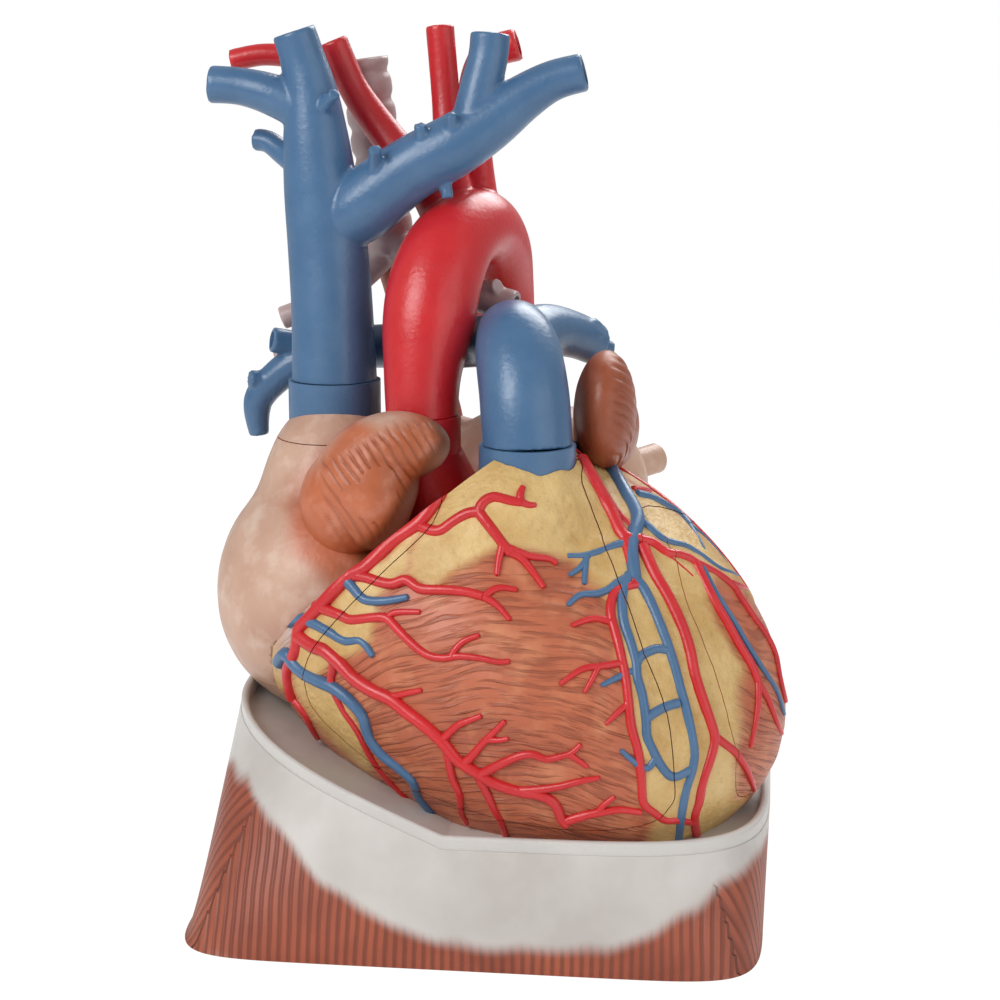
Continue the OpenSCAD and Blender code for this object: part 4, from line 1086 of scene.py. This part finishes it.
left_wall = copy_of(skin, "left_wall")
meet(left_wall, prism(LEFT_CURVE, LEFT_YAW, LEFT_BACK))
cut(left_wall, core(LEFT_WALL_T, LEFT_YAW),
    swept_hull(star_points(LEFT_ATRIUM_O, LEFT_ATRIUM, -SEAT_GAP, 24, 36)[1], LEFT_YAW),
    prism(RIGHT_CURVE, RIGHT_YAW, RIGHT_BACK, SEAT_GAP),
    *pins(LEFT_PINS, LEFT_YAW, LEFT_WALL_T, PIN_R, PIN_HOLE))
mark_heart(left_wall)
finish(left_wall, "left_ventricle_wall_painted", "left_ventricle_cover", "muscle_brown",
       "left_ventricle_wall")


# %% Heart body
def limb(points, paint_=None, k=8, sides=48, lean=(0, 1, 0)):
    """A closed tube along a smooth curve through rows [x, y, z, radius]."""
    obj = outward(make("limb", *sweep(bow(points, k) if k > 1 else points, sides, lean)))
    if paint_:
        obj.data.materials.append(paint_)
    return obj


def lean_for(d):
    """An axis that is well off direction d, to turn a ring about it."""
    return [0, 0, 1] if abs(d[2]) < 0.8 else [0, 1, 0]


def nub(a, b, r):
    """A short cut branch that tapers from 1.5 r to r."""
    t = np.linspace(0, 1, 10)[:, None]
    p = np.asarray(a) + t * (np.asarray(b, float) - a)
    rows = np.column_stack([p, r * (1.5 - 0.5 * smoothstep(0, 0.8, t[:, 0]))])
    d = unit(np.asarray(b, float) - a)
    return outward(make("nub", *sweep(rows, 24, lean_for(d))))


def hollow(end, inner, paint_, deep=13.0, wall=2.4):
    """The hollow in a cut end: from the tube's end point towards the next one."""
    e, i = np.asarray(end, float), np.asarray(inner, float)
    d = unit(i[:3] - e[:3])
    r = e[3] - wall
    s = np.array([-1.0, 0.0, deep * 0.5, deep, deep + 1.5])
    rr = r * np.array([1.06, 1.0, 0.94, 0.8, 0.4])
    rows = np.column_stack([e[:3] + s[:, None] * d, rr])
    obj = outward(make("hollow", *sweep(rows, 40, lean_for(d))))
    obj.data.materials.append(paint_)
    return obj


def raised_skin(name, o, form, rows, spokes, paint_, rise_of):
    """A form's skin, raised along its own directions by rise_of(points) millimetres."""
    _, p = star_points(o, form, 0, rows, spokes)
    d = unit(p - np.asarray(o, float))
    obj = make(name, p + rise_of(p)[:, None] * d, *grid_faces(rows - 1, spokes))
    obj.data.materials.append(paint_)
    return obj


def softened(name, o, form, rows, spokes, size, height, paint_):
    """A form's skin with soft unevenness of a height, in lumps of a size and of a third of it."""
    return raised_skin(name, o, form, rows, spokes, paint_,
                       lambda p: height * noise(p, size) + 0.4 * height * noise(p, size / 3))


def heart_star(name, form, t, rows, spokes):
    """A form of the heart's own axes, drawn in by t and set in its place."""
    obj = star(name, [0, 0, 0], form, t, rows, spokes)
    set_verts(obj, from_heart(verts_of(obj)))
    return obj


VEIN_RUNS = [[[50, 82, 186, 9], [64, 98, 188, 8], [72, 108, 189, 8]],
             [[50, 84, 164, 9], [64, 100, 162, 8], [72, 110, 161, 8]],
             [[-12, 84, 200, 9], [-40, 96, 206, 8], [-52, 100, 208, 8]],
             [[-12, 84, 178, 9], [-42, 96, 179, 8], [-54, 99, 179, 8]]]
NECK = [[-20, -8, 170, 24], [-33, -20, 213, 18]]
ROOTS = [(AORTA_SEAM, AORTA_LOW, AORTA_R), (TRUNK_SEAM, TRUNK_LOW, TRUNK_R),
         (CAVA_SEAM, CAVA_LOW, CAVA_R)]
TRICUSPID = ([-70, -53, -25], [1, 0.1, 0.05], 14.0)
MITRAL = ([-58, 42, 24], [0.46, -0.76, -0.45], 12.0)


def seat(line, yaw, back, wall_t):
    """Room for a loose wall, in front of its ledge."""
    return cut(prism(line, yaw, back, SEAT_GAP), core(wall_t + SEAT_GAP, yaw))


def valve_bore(v, gap=0.2, half=22):
    """The round hole that a valve (centre, direction, radius) sits in."""
    at, d, r = v
    d = unit(d)
    ends = [np.asarray(at) - half * d, np.asarray(at) + half * d]
    e = from_heart(ends)
    rows = np.column_stack([e, [r + gap, r + gap]])
    return outward(make("bore", *sweep(rows, 48, [0, 0.2, 1])))


body = skin
add(body, limb(NECK, RED, 1))
cut(body, seat(RIGHT_CURVE, RIGHT_YAW, RIGHT_BACK, RIGHT_WALL_T),
    seat(LEFT_CURVE, LEFT_YAW, LEFT_BACK, LEFT_WALL_T))
right_chamber = cut(meet(prism(RIGHT_LINE, RIGHT_YAW, -20, -LEDGE), core(RIGHT_WALL_T, RIGHT_YAW)),
                    heart_star("septum", SEPTUM, 0, 60, 90))
opening = meet(prism(LEFT_LINE, LEFT_YAW, -32, -LEDGE), core(LEFT_WALL_T, LEFT_YAW))
cut(body, right_chamber, opening)

atria = softened("atria", ATRIUM_O, ATRIUM, 90, 140, 30, 0.5, ATRIA)
add(atria, softened("left_atrium", LEFT_ATRIUM_O, LEFT_ATRIUM, 90, 140, 24, 0.5, ATRIA))
add(atria, *[limb(run, ATRIA, 6, 32, (0, 0, 1)) for run in VEIN_RUNS])
room = cut(prism(ATRIUM_CURVE, ATRIUM_YAW, ATRIUM_BACK, SEAT_GAP),
           atrium_core(ATRIUM_WALL_T + SEAT_GAP))
cut(atria, room)
cut(atria, meet(prism(ATRIUM_CURVE, ATRIUM_YAW, 0, -LEDGE),
                star("inner", ATRIUM_O, ATRIUM, ATRIUM_WALL_T, 60, 90)))
cut(atria, *[hollow(run[2], run[1], RED, 9.0) for run in VEIN_RUNS])
add(body, atria)
cut(body, below_dome())
cut(body, *[post(at, low, r + ROOT_STEP + 0.2) for at, low, r in ROOTS])
cut(body, star("left_inner", [15, 58, 186], [([15, 58, 186], [38, 22, 24])], 0, 40, 60))
cut(body, valve_bore(TRICUSPID), valve_bore(MITRAL))
mark_heart(body)
point_values(body, "orange", np.zeros(len(body.data.vertices)))
finish(body, "heart_body_painted", "heart_on_base", "muscle_brown", "heart_body")

# %% [markdown]
# ## Right atrium with its auricle, and the left auricle
# The auricle's comb of muscle shows as narrow grooves. They follow lines read off the
# photograph, which run down to the right.

# %% Atrium
COMB = [(322, 462), (352, 452), (392, 424), (424, 420), (434, 444), (416, 482), (396, 512),
        (376, 538), (352, 545), (326, 528)]
COMB_PITCH_PX = 9.0
ACROSS_COMB = (0.84, -0.55)         # the way across the comb's bars, in pixels
AURICLE_EDGE = [(300, 470), (330, 440), (352, 412), (378, 428), (430, 405), (456, 440),
                (372, 566), (330, 585), (296, 560), (286, 510)]


def comb_lines(p):
    """0 on the comb's bars and 1 in its grooves, only where the comb shows."""
    px = to_pixels(p) + 1.6 * np.stack([noise(p, 8), noise(p + 30, 8)], 1)
    c = px @ np.array(ACROSS_COMB)
    groove = (0.5 + 0.5 * np.cos(2 * math.pi * c / COMB_PITCH_PX)) ** 4
    return groove * soft_inside(px, COMB, 7) * (0.5 + 0.5 * noise(p, 14) > 0.25)


CLEAR = 1.2                        # room between the atria's skins and the ventricles
grown = heart_star("grown", VENTRICLES, -CLEAR, 90, 130)
meet(grown, groove_half(-CLEAR))
wide_neck = np.asarray(NECK, float) + [0, 0, 0, SEAT_GAP]
a_core = atrium_core(ATRIUM_WALL_T)

atrium = softened("atrium", ATRIUM_O, ATRIUM, 130, 200, 30, 0.5, ATRIA)
meet(atrium, prism(ATRIUM_CURVE, ATRIUM_YAW, ATRIUM_BACK))
cut(atrium, copy_of(a_core, "core"), copy_of(grown, "cut"), limb(wide_neck, None, 1),
    *[post(at, low, r + ROOT_STEP + SEAT_GAP) for at, low, r in ROOTS])
auricle = raised_skin("auricle", AURICLE_O, AURICLE, 180, 260, ATRIA,
                      lambda p: 0.4 * noise(p, 16) - 0.75 * comb_lines(p))
cut(auricle, a_core, copy_of(grown, "cut"), limb(wide_neck, None, 1),
    post(AORTA_SEAM, 150, AORTA_R + ROOT_STEP + 3 * SEAT_GAP),
    post(TRUNK_SEAM, 150, TRUNK_R + ROOT_STEP + 3 * SEAT_GAP),
    post(CAVA_SEAM, CAVA_LOW, CAVA_R + ROOT_STEP + SEAT_GAP))
add(atrium, auricle)
p = verts_of(atrium)
px = to_pixels(p) + 5 * np.stack([noise(p, 14), noise(p + 40, 14)], 1)
near_front = smoothstep(-20, -34, p[:, 1])
point_values(atrium, "orange", soft_inside(px, AURICLE_EDGE, 16) * near_front)
# the comb's grooves, which the atrium's paint darkens as painted shade
point_values(atrium, "comb", comb_lines(p))
# the auricle's lower right rim, painted darker as painted shade
shaded_rim_line = [(366, 555), (395, 520), (425, 480), (447, 441), (440, 415)]
point_values(atrium, "edge", smoothstep(16, 3, edge_distance(px, shaded_rim_line, False)))
finish(atrium, "right_atrium_wall_painted", "right_atrium_cover", "atrium_flesh",
       "right_atrium_wall")

FOLD_PITCH = 6.5


def bean_folds(p):
    """Soft lumps, less a fold every FOLD_PITCH mm on the side that faces forward and out."""
    way = p[:, 2] + 0.6 * p[:, 1] + 2 * noise(p, 12)
    fold = (0.5 + 0.5 * np.cos(2 * math.pi * way / FOLD_PITCH)) ** 3
    side = smoothstep(55, 61, p[:, 0]) * smoothstep(14, 4, p[:, 1])
    return 0.5 * noise(p, 12) - 1.0 * fold * side


bean = raised_skin("bean", LEFT_AURICLE_O, LEFT_AURICLE, 130, 200, BEAN, bean_folds)
cut(bean, star("la", LEFT_ATRIUM_O, LEFT_ATRIUM, -SEAT_GAP - 0.6, 60, 90), grown)
finish(bean, "left_auricle_painted", "left_auricle_piece", "auricle_brown", "left_auricle")

# %% [markdown]
# ## Great vessels
# Each group is melted to one skin, so that branches leave their trunk in a soft fillet.
# Then it is cut level where it stands on its root, and its cut ends are hollowed.

# %% Vessel groups
def under(seam):
    """What is cut away below a vessel that stands on a level seam."""
    x, y, z = seam
    return box([x - 35, y - 35, z - 40], [x + 35, y + 35, z + 0.4])


def foot(run, *deep):
    """The first end of a run, for `hollow`."""
    return (run[0], run[1], *deep)


def tip(run, *deep):
    """The last end of a run, for `hollow`."""
    return (run[-1], run[-2], *deep)


def vessel_group(name, limbs, nubs, seams, ends, paint_, voxel=1.0):
    """Limbs and nubs melted to one skin, cut level at the seams and hollowed at the ends."""
    obj = fuse(name, limbs + [nub(*n) for n in nubs], voxel, 5)
    obj.data.materials.clear()
    obj.data.materials.append(paint_)
    for seam in seams:
        cutter = under(seam)
        cutter.data.materials.append(paint_)
        cut(obj, cutter)
    return cut(obj, *[hollow(e[0], e[1], paint_, *e[2:]) for e in ends])


CAVA = [[-81, 10, 240, CAVA_R], [-82, 12, 275, 20], [-84, 14, 305, 19.5], [-87, 14, 335, 18],
        [-89, 14, 358, 16], [-91, 14, 380, 13], [-95, 14, 397, 11], [-99, 13, 410, 10.5]]
RIGHT_SUBCLAVIAN_VEIN = [[-92, 14, 372, 11], [-110, 14, 380, 10], [-126, 15, 384, 9],
                         [-141, 15, 385, 9]]
AZYGOS = [[-96, 18, 345, 7], [-108, 26, 352, 6], [-116, 30, 357, 5.5], [-123, 32, 358, 5.5]]
LEFT_BRACHIOCEPHALIC = [[-84, 13, 315, 12.5], [-68, 11, 326, 17], [-44, 7, 344, 15.5],
                        [-22, 6, 356, 15], [-4, 7, 367, 13], [12, 9, 379, 11],
                        [26, 10, 387, 9.5], [41, 10, 391, 9]]
LEFT_JUGULAR = [[-12, 6, 364, 11], [-8, 8, 384, 10], [-5, 11, 398, 9.5], [-4, 12, 409, 9.5]]
upper_veins = vessel_group(
    "upper_veins_painted",
    [limb(CAVA), limb(RIGHT_SUBCLAVIAN_VEIN), limb(AZYGOS, lean=(0, 0, 1)),
     limb(LEFT_BRACHIOCEPHALIC), limb(LEFT_JUGULAR)],
    [([-86, 8, 372], [-76, -4, 381], 3), ([-58, 2, 340], [-56, -10, 356], 3.2),
     ([-34, 0, 350], [-35, -6, 367], 3.2), ([-20, 0, 356], [-20, -8, 372], 3),
     ([-27, 5, 350], [-23, 1, 332], 3)],
    [CAVA_SEAM],
    [foot(CAVA), tip(CAVA), tip(RIGHT_SUBCLAVIAN_VEIN), tip(AZYGOS, 6), tip(LEFT_BRACHIOCEPHALIC),
     tip(LEFT_JUGULAR)], BLUE)
finish(upper_veins, "upper_veins_painted", "upper_veins", "vein_blue", "superior_vena_cava")

ARCH_SEAM = (-5, 83, 262)
AORTA = [[-33, -20, 228, AORTA_R], [-33, -17, 250, 18.5], [-31, -10, 275, 22],
         [-28, 0, 296, 22], [-21, 16, 312, 20], [-12, 38, 316, 18], [-7, 60, 304, 17],
         [-6, 76, 284, 16], [-5, 83, 256, 15]]
BRACHIOCEPHALIC = [[-26, 16, 318, 10], [-41, 36, 338, 9], [-60, 44, 360, 8.5],
                   [-76, 46, 382, 7.5], [-86, 44, 406, 7]]
RIGHT_SUBCLAVIAN = [[-78, 45, 386, 6], [-98, 48, 396, 6], [-120, 47, 399, 5.5],
                    [-138, 46, 396, 5.5]]
LEFT_CAROTID = [[-20, 26, 322, 9], [-27, 36, 350, 7.5], [-30, 42, 380, 7], [-33, 44, 413, 7]]
LEFT_SUBCLAVIAN = [[-12, 42, 322, 9], [-16, 50, 350, 8], [-18, 54, 378, 8], [-12, 58, 398, 8],
                   [4, 58, 404, 8]]
arch = vessel_group(
    "aortic_arch_painted",
    [limb(AORTA, lean=(1, 0, 0)), limb(BRACHIOCEPHALIC), limb(RIGHT_SUBCLAVIAN),
     limb(LEFT_CAROTID), limb(LEFT_SUBCLAVIAN)],
    [([-24, 17, 312], [-35, 30, 330], 9), ([-19, 24, 314], [-24, 32, 336], 8),
     ([-12, 40, 310], [-14, 46, 336], 8.5)],
    [AORTA_SEAM, ARCH_SEAM],
    [foot(AORTA), tip(AORTA, 19), tip(BRACHIOCEPHALIC), tip(RIGHT_SUBCLAVIAN), tip(LEFT_CAROTID),
     tip(LEFT_SUBCLAVIAN)], RED)
finish(arch, "aortic_arch_painted", "aortic_arch", "artery_red", "aorta")

TRUNK_RUN = [[20, -42, 219, TRUNK_R], [18, -37, 243, 21], [13, -22, 263, 20], [8, -4, 270, 16.5]]
LEFT_PULMONARY = [[10, -12, 265, 15], [22, 14, 268, 13], [34, 32, 264, 11.5],
                  [44, 44, 258, 10.5]]
RIGHT_PULMONARY = [[8, -8, 266, 14], [-8, 16, 262, 12.5], [-34, 26, 258, 11.5],
                   [-66, 44, 255, 11], [-92, 48, 252, 10.5], [-106, 46, 252, 9]]
RIGHT_UPPER = [[-98, 48, 253, 7], [-110, 44, 256, 6.5], [-119, 40, 258, 6.5]]
RIGHT_LOWER = [[-100, 47, 250, 9], [-116, 46, 240, 8.5], [-128, 46, 226, 7.5],
               [-128, 46, 208, 5]]
pulmonary = vessel_group(
    "pulmonary_vessels_painted",
    [limb(TRUNK_RUN, lean=(1, 0, 0)), limb(LEFT_PULMONARY, lean=(0, 0, 1)),
     limb(RIGHT_PULMONARY, lean=(0, 0, 1)), limb(RIGHT_UPPER, lean=(0, 0, 1)),
     limb(RIGHT_LOWER)],
    [([-96, 48, 254], [-108, 52, 266], 4.5), ([-120, 46, 236], [-131, 40, 238], 4.5),
     ([-124, 46, 226], [-134, 46, 222], 4), ([38, 38, 262], [47, 34, 268], 5),
     ([40, 40, 260], [52, 46, 254], 5)],
    [TRUNK_SEAM],
    [foot(TRUNK_RUN), tip(LEFT_PULMONARY), tip(RIGHT_UPPER, 6)], BLUE)
finish(pulmonary, "pulmonary_vessels_painted", "pulmonary_vessels", "vein_blue",
       "pulmonary_trunk")

# %% [markdown]
# The windpipe's rings of cartilage are a dip in its radius every 13.9 mm. The gullet and the
# descending aorta run behind the heart, which the photograph doesn't show.

# %% Windpipe, gullet and the vessels behind
RING_PITCH, RING_DEPTH = 13.9, 1.6
top, fork = np.array([-75, 65.1, 397]), np.array([-62, 69, 300.0])
t = np.linspace(0, 1, 140)
dip = (0.5 - 0.5 * np.cos(2 * math.pi * t * np.linalg.norm(top - fork) / RING_PITCH)) ** 3
PIPE = np.column_stack([top + t[:, None] * (fork - top), 12.5 - RING_DEPTH * dip])
LEFT_BRONCHUS = [[-58, 66, 304, 9], [-42, 54, 294, 9], [-24, 42, 286, 8.5], [-8, 33, 281, 8],
                 [6, 29, 278, 7.5]]
RIGHT_BRONCHUS = [[-64, 68, 304, 9], [-78, 70, 290, 9], [-92, 68, 278, 8]]
RIGHT_UPPER_BRONCHUS = [[-88, 69, 282, 6], [-104, 66, 272, 6], [-119, 64, 266, 6]]
RIGHT_LOWER_BRONCHUS = [[-90, 68, 281, 7], [-108, 68, 254, 6.5], [-134, 63.9, 220, 6]]
windpipe = vessel_group(
    "windpipe_painted",
    [limb(PIPE, k=1), limb(LEFT_BRONCHUS, lean=(0, 0, 1)), limb(RIGHT_BRONCHUS, lean=(0, 1, 0)),
     limb(RIGHT_UPPER_BRONCHUS), limb(RIGHT_LOWER_BRONCHUS)],
    [([-100, 66, 276], [-113, 72, 276], 4), ([-112, 67, 250], [-124, 74, 246], 4),
     ([-126, 66, 232], [-131, 58, 232], 4), ([-12, 34, 284], [-2, 26, 288], 4)], [],
    [(PIPE[0], PIPE[9]), tip(LEFT_BRONCHUS, 6), tip(RIGHT_UPPER_BRONCHUS, 6),
     tip(RIGHT_LOWER_BRONCHUS, 6)], AIRWAY, 0.9)
finish(windpipe, "windpipe_painted", "windpipe", "airway_pink", "trachea")

GULLET_RUN = [[-80, 86, 392, 8], [-74, 87, 348, 8], [-67, 89, 300, 8], [-57, 101, 258, 8],
              [-44, 114, 222, 8], [-36, 117, 180, 8], [-32, 115, 120, 8], [-32, 112, 82, 8]]
gullet = limb(GULLET_RUN, GULLET, 10, 56)
p = verts_of(gullet)
set_verts(gullet, p + (0.25 * noise(p * [1, 1, 0.25], 3))[:, None] * normals_of(gullet))
cut(gullet, hollow(*foot(GULLET_RUN), GULLET), hollow(*tip(GULLET_RUN), GULLET))
finish(gullet, "gullet_painted", "windpipe", "base_brown", "oesophagus")

DESCENDING = [[-5, 82, 266, 15], [-2, 93, 243, 14.5], [4, 112, 210, 14], [7, 117, 175, 13.5],
              [8, 114, 120, 13], [8, 106, 54, 13]]
descending = limb(DESCENDING, RED, 10, 56)
above = box([-60, 40, 262], [60, 140, 330])
above.data.materials.append(RED)
cut(descending, above, hollow(DESCENDING[0], DESCENDING[1], RED, 17.0), below_dome(0.2))
finish(descending, "descending_aorta_painted", "heart_on_base", "artery_red",
       "descending_aorta")
lower_cava = limb([[-70, 42, 125, 17], [-70, 48, 95, 17], [-70, 52, 60, 17.5]], BLUE, 10, 56)
cut(lower_cava, below_dome(0.2))
finish(lower_cava, "lower_vena_cava_painted", "heart_on_base", "vein_blue",
       "inferior_vena_cava")

# %% [markdown]
# ## Base
# The block's outline at each height is a superellipse that draws in towards the top. Its
# upper face is the diaphragm. Ribs of muscle run up to the tendon's edge.

# %% Block and rim
BASE_W, BASE_D, BASE_WALL, BASE_TOP, CORNER = 268.0, 268.0, 5.0, 95.0, 9.0
TENDON_EDGE = [(216, 801), (231, 801), (251, 818), (272, 834), (296, 856), (321, 881),
               (353, 897), (394, 915), (441, 930), (478, 935), (560, 939), (608, 938),
               (656, 923), (696, 909), (719, 893), (751, 882)]


def base_ring(z, inset, n=48, turn=0.0):
    """Points round the block at height z (one number, or one for each point), drawn in."""
    t = np.clip(z / BASE_TOP, 0, 1)
    left, right = BASE_W / 2 - inset - 11 * t ** 0.6, BASE_W / 2 - inset + 4 * t
    front, back = BASE_D / 2 - inset - 40 * t ** 1.3, BASE_D / 2 - inset - 12 * t
    power = CORNER - (CORNER - 2.6) * t ** 0.6
    a = turn - np.arange(n) * 2 * math.pi / n
    c, s = np.cos(a), np.sin(a)
    k = (np.abs(c) ** power + np.abs(s) ** power) ** (-1 / power)
    return np.stack([k * c * np.where(c > 0, right, left), k * s * np.where(s > 0, back, front),
                     np.zeros(n) + z], 1)


def block_form(inset, levels, n):
    """A closed skin through the block's rings at the given heights."""
    rings = [base_ring(z, inset, n, math.pi / 2) for z in levels]
    v = np.concatenate([[[0, 0, levels[0]]]] + rings + [[[0, 0, levels[-1]]]])
    return outward(make("block", v, *grid_faces(len(levels), n)))


FEET = [(x * 100, y * 94) for x in (-1, 1) for y in (-1, 1)]
FOOT_R, SCREW_HOLE_R = 9, 2.55

block = block_form(0, np.linspace(0, 106, 80), 720)
block.data.materials.append(BASE)
hollow_block = block_form(BASE_WALL, np.linspace(-1, 106, 12), 120)
cut(hollow_block, dome_half(-BASE_WALL, 400), *[post(at, 6, FOOT_R, 200) for at in FEET])
cut(block, hollow_block, *[post(at, -1, SCREW_HOLE_R, 22) for at in FEET])
above_dome = dome_half(0, 400)
above_dome.data.materials.append(BASE)
cut(block, above_dome)

PLANE_Y = -118.0                   # the block's front, on which the tendon's edge is read
rays = np.array([pixel_ray(*e) for e in TENDON_EDGE])
edge = CAM_AT + rays * ((PLANE_Y - CAM_AT[1]) / rays[:, 1])[:, None]
p = verts_of(block)
limit = np.interp(p[:, 0], edge[:, 0], edge[:, 2]) + 2.5 * noise(p, 14)
point_values(block, "flesh", smoothstep(4, -4, p[:, 2] - limit))
side = np.abs(p[:, 0]) > np.abs(p[:, 1])
point_values(block, "rib", np.where(side, np.sign(p[:, 0]) * (p[:, 1] + 200), p[:, 0]))
finish(block, "diaphragm_block_painted", "heart_on_base", "base_brown", "diaphragm_block")

RIM_SHAPE = [(0.5, 0), (0.5, 4.4), (0.8, 5.3), (1.6, 5.9), (2.5, 6.0), (3.4, 5.9), (4.2, 5.3),
             (4.5, 4.4), (4.5, 0)]
n = 480
rings = []
for inset, lift in RIM_SHAPE:
    ring = base_ring(60, inset, n)
    for _ in range(4):
        ring = base_ring(dome_z(ring[:, 0]), inset, n)
    ring[:, 2] = dome_z(ring[:, 0]) + lift
    rings.append(ring)
v = np.concatenate(rings)
m = len(RIM_SHAPE)
i, j = np.meshgrid(np.arange(m), np.arange(n), indexing="ij")
q = np.stack([i * n + j, i * n + (j + 1) % n, (i + 1) % m * n + (j + 1) % n,
              (i + 1) % m * n + j], -1).reshape(-1, 4)
rim = outward(make("rim", v, q))
rim.data.materials.append(TENDON)
finish(rim, "pericardium_rim_painted", "heart_on_base", "tendon_white", "pericardium_rim")

# %% [markdown]
# ## Paint on the parts that keep their shape from the source
# Valves, pins, screws, stumps and the board are exact as they are, so they only get paint.

# %% Carried-over parts
KEPT = {"base_board": BOARD, "board_screws": STEEL, "cava_root": BLUE, "aortic_root": RED,
        "pulmonary_root": BLUE, "aortic_valve": CREAM, "pulmonary_valve": CREAM,
        "tricuspid_valve": CREAM, "mitral_valve": CREAM, "right_papillary_muscles": CREAM,
        "left_papillary_muscles": CREAM, "locating_pins": STEEL}
for name, finish_paint in KEPT.items():
    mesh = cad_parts[name].data
    mesh.materials.clear()
    mesh.materials.append(finish_paint)
print(len(KEPT), "parts carried over")

# %% [markdown]
# ## Studio
# A pale floor and a white surround, one large soft light from the upper left and a weaker
# one from the right.

# %% Floor, light and surround
floor = make("floor", np.array([[-3000, -3000, -0.3], [3000, -3000, -0.3], [3000, 3000, -0.3],
                                [-3000, 3000, -0.3]]), [[0, 1, 2, 3]])
mat = bpy.data.materials.new("white_paper")
mat.use_nodes = True
mat.node_tree.nodes.clear()
ray = node(mat, "LightPath").outputs["Is Camera Ray"]
lit = node(mat, "BsdfDiffuse", {"Color": (0.9, 0.9, 0.9, 1)}).outputs[0]
glow = node(mat, "Emission", {"Color": (1, 1, 1, 1), "Strength": 1.07}).outputs[0]
both = node(mat, "MixShader", {0: maths(mat, "MULTIPLY", ray, 0.93), 1: lit, 2: glow})
node(mat, "OutputMaterial", {0: both.outputs[0]})
floor.data.materials.append(mat)


def area_light(name, at, target, size, power):
    """A square soft light at a place in mm, facing a target."""
    data = bpy.data.lights.new(name, "AREA")
    data.size, data.energy = size, power
    obj = bpy.data.objects.new(name, data)
    bpy.context.scene.collection.objects.link(obj)
    back = unit(np.asarray(at, float) - target)
    side = unit(np.cross([0, 0, 1], back))
    rows = np.eye(4)
    rows[:3, 0], rows[:3, 1], rows[:3, 2] = side, np.cross(back, side), back
    rows[:3, 3] = np.asarray(at) * MM
    obj.matrix_world = Matrix(rows.tolist())


area_light("key", (-900, -1100, 1100), (0, 0, 200), 0.9, 17)
area_light("fill", (1000, -700, 500), (0, 0, 180), 1.2, 4.5)
area_light("rim_light", (300, 900, 1100), (0, 0, 200), 0.8, 12)

world = bpy.data.worlds.new("white")
bpy.context.scene.world = world
world.use_nodes = True
world.node_tree.nodes.clear()
ray = node(world, "LightPath").outputs["Is Camera Ray"]
seen = node(world, "Background", {0: (1, 1, 1, 1), 1: 1.0}).outputs[0]
soft = node(world, "Background", {0: (0.96, 0.98, 1, 1), 1: 0.40}).outputs[0]
pick = node(world, "MixShader", {0: ray, 1: soft, 2: seen}).outputs[0]
node(world, "OutputWorld", {0: pick})
bpy.context.scene.view_settings.view_transform = "Standard"
